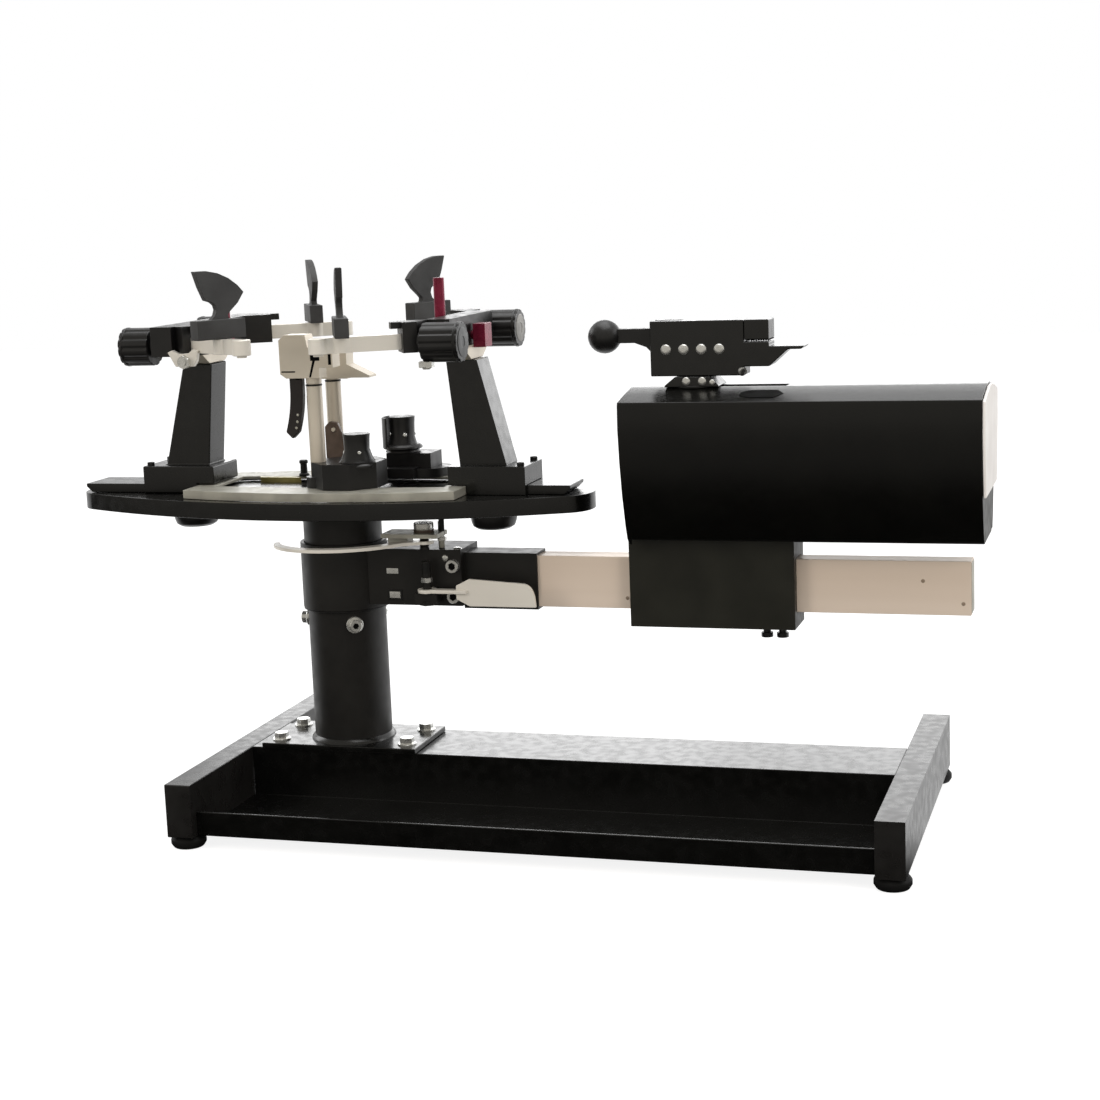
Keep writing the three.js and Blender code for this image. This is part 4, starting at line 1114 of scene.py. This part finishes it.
# each lamp: power, colour, size, place and aim, in watts and metres, and if reflections show it
LAMPS = [
    ("overhead_softbox", 26, WHITE, (2.2, 1.6), (0.1, 0.1, 2.2), (0, 0, 0.2), True),
    ("rear_softbox_left", 8.6, WHITE, (1.3, 0.85), (-1.15, 3.0, 0.82), (-1.15, 0, 0.3), True),
    ("rear_softbox_right", 13, WHITE, (2.5, 0.85), (0.75, 3.0, 0.82), (0.75, 0, 0.3), True),
    ("left_softbox", 10, WHITE, (1.0, 1.2), (-2.4, 0.6, 1.2), (0, 0, 0.3), True),
    ("right_softbox", 8, WHITE, (1.0, 1.2), (2.4, 0.6, 1.2), (0, 0, 0.3), True),
    ("front_left_fill", 25, "#fff6ec", (1.0, 1.6), (-1.9, -1.9, 1.3), (0, 0, 0.3), False),
    ("front_right_fill", 25, "#fff6ec", (1.0, 1.6), (2.2, -1.7, 1.3), (0.2, 0, 0.3), False),
]

CAMERA_ANGLES = (17.09, -9.89, -2.25)  # yaw, pitch and roll in degrees
CAMERA_PLACE = (771.77, -1827.22, 590.07)  # in millimetres about the column's axis
CAMERA_SENSOR, CAMERA_LENS = 36, 67.165  # in millimetres


def emitter(name, power, colour, size, place, aim, shines):
    """A rectangular area lamp that faces its aim."""
    light = bpy.data.lights.new(name, "AREA")
    light.shape = "RECTANGLE"
    light.size, light.size_y = size
    light.energy = power
    light.color = linear(colour)[:3]
    made = bpy.data.objects.new(name, light)
    made.location = place
    made.rotation_mode = "QUATERNION"
    made.rotation_quaternion = (Vector(aim) - Vector(place)).to_track_quat("-Z", "Y")
    made.visible_glossy = shines
    bpy.context.scene.collection.objects.link(made)


def background_share(tree):
    """The share of camera rays, and that of glossy and transmission rays, which show a backdrop."""
    path = put(tree, "ShaderNodeLightPath")
    shine = put(
        tree,
        "ShaderNodeMath",
        {0: path.outputs["Is Glossy Ray"], 1: path.outputs["Is Transmission Ray"]},
        operation="MAXIMUM",
    )
    return path.outputs["Is Camera Ray"], shine.outputs[0]


def studio_world():
    """White to the camera, a backdrop that greys to the front in reflections, and soft light."""
    world = bpy.data.worlds.new("studio")
    world.use_nodes = True
    bpy.context.scene.world = world
    tree = world.node_tree
    tree.nodes.clear()
    seen, shine = background_share(tree)
    way = put(tree, "ShaderNodeTexCoord")
    split = put(tree, "ShaderNodeSeparateXYZ", {"Vector": way.outputs["Generated"]})
    height = put(
        tree,
        "ShaderNodeMapRange",
        {"Value": split.outputs["Z"], "From Min": LOW_HEIGHT, "From Max": HIGH_HEIGHT},
    )
    depth = put(
        tree,
        "ShaderNodeMapRange",
        {"Value": split.outputs["Y"], "From Min": FRONT_DEPTH, "From Max": BACK_DEPTH},
    )
    tone, drop = [
        put(
            tree,
            "ShaderNodeMix",
            {MIX_SHARE: share, MIX_FIRST: linear(grey), MIX_SECOND: linear(WHITE)},
            data_type="RGBA",
        ).outputs[MIX_COLOUR]
        for share, grey in (
            (height.outputs["Result"], LOW_TONE),
            (depth.outputs["Result"], FRONT_TONE),
        )
    ]
    soft = put(tree, "ShaderNodeBackground", {"Color": tone, "Strength": SOFT_LIGHT})
    backdrop = put(tree, "ShaderNodeBackground", {"Color": drop, "Strength": 1.0})
    white = put(tree, "ShaderNodeBackground", {"Color": linear(WHITE), "Strength": 1.0})
    shown = put(tree, "ShaderNodeMixShader", {0: shine, 1: soft.outputs[0], 2: backdrop.outputs[0]})
    mix = put(tree, "ShaderNodeMixShader", {0: seen, 1: shown.outputs[0], 2: white.outputs[0]})
    put(tree, "ShaderNodeOutputWorld", {"Surface": mix.outputs[0]})


def floor_finish():
    """Near white to the camera with a faint contact shadow, and the floor tones in reflections."""
    material, tree = blank("pale_studio_floor")
    seen, shine = background_share(tree)
    paper = put(tree, "ShaderNodeBsdfDiffuse", {"Color": linear(BOUNCE_TONE)})
    glow = put(tree, "ShaderNodeEmission", {"Color": linear(WHITE), "Strength": FLOOR_GLOW})
    lit = put(tree, "ShaderNodeBsdfDiffuse", {"Color": linear(SHADED_TONE)})
    page = put(tree, "ShaderNodeAddShader", {0: glow.outputs[0], 1: lit.outputs[0]})
    place = put(tree, "ShaderNodeTexCoord")
    split = put(tree, "ShaderNodeSeparateXYZ", {"Vector": place.outputs["Object"]})
    (front, front_tone), *between, (back, back_tone) = FLOOR_TONES
    depth = put(
        tree,
        "ShaderNodeMapRange",
        {"Value": split.outputs["Y"], "From Min": front, "From Max": back},
    )
    ramp = put(tree, "ShaderNodeValToRGB", {"Fac": depth.outputs["Result"]})
    for step, code in between:
        ramp.color_ramp.elements.new((step - front) / (back - front)).color = linear(code)
    ramp.color_ramp.elements[0].color = linear(front_tone)
    ramp.color_ramp.elements[-1].color = linear(back_tone)
    tone = ramp.outputs["Color"]
    mirror = put(tree, "ShaderNodeEmission", {"Color": tone, "Strength": 1.0})
    shown = put(tree, "ShaderNodeMixShader", {0: shine, 1: paper.outputs[0], 2: mirror.outputs[0]})
    mix = put(tree, "ShaderNodeMixShader", {0: seen, 1: shown.outputs[0], 2: page.outputs[0]})
    put(tree, "ShaderNodeOutputMaterial", {"Surface": mix.outputs[0]})
    return material


def studio():
    """The floor, the world and the lamps."""
    bm = bmesh.new()
    bmesh.ops.create_grid(bm, x_segments=1, y_segments=1, size=FLOOR_HALF)
    mesh = bpy.data.meshes.new("floor")
    bm.to_mesh(mesh)
    bm.free()
    mesh.materials.append(floor_finish())
    ground = bpy.data.objects.new("floor", mesh)
    ground.location.z = -FLOOR_DROP * MM
    bpy.context.scene.collection.objects.link(ground)
    studio_world()
    for lamp in LAMPS:
        emitter(*lamp)


def camera():
    """The photo's viewpoint, measured from the base's straight edges."""
    yaw, pitch, roll = (math.radians(angle) for angle in CAMERA_ANGLES)
    forward = Vector(
        (-math.sin(yaw) * math.cos(pitch), math.cos(yaw) * math.cos(pitch), math.sin(pitch))
    )
    level = Vector((math.cos(yaw), math.sin(yaw), 0))
    above = level.cross(forward)
    right = math.cos(roll) * level + math.sin(roll) * above
    top = -math.sin(roll) * level + math.cos(roll) * above
    lens = bpy.data.cameras.new("photo_camera")
    lens.sensor_width = CAMERA_SENSOR
    lens.lens = CAMERA_LENS
    made = bpy.data.objects.new("photo_camera", lens)
    made.rotation_mode = "QUATERNION"
    made.rotation_quaternion = Matrix((right, top, -forward)).transposed().to_quaternion()
    x, y, z = CAMERA_PLACE
    made.location = Vector((x + AXIS_X, y, z)) * MM
    bpy.context.scene.collection.objects.link(made)
    bpy.context.scene.camera = made


studio()
camera()
bpy.context.scene.view_settings.view_transform = "Standard"
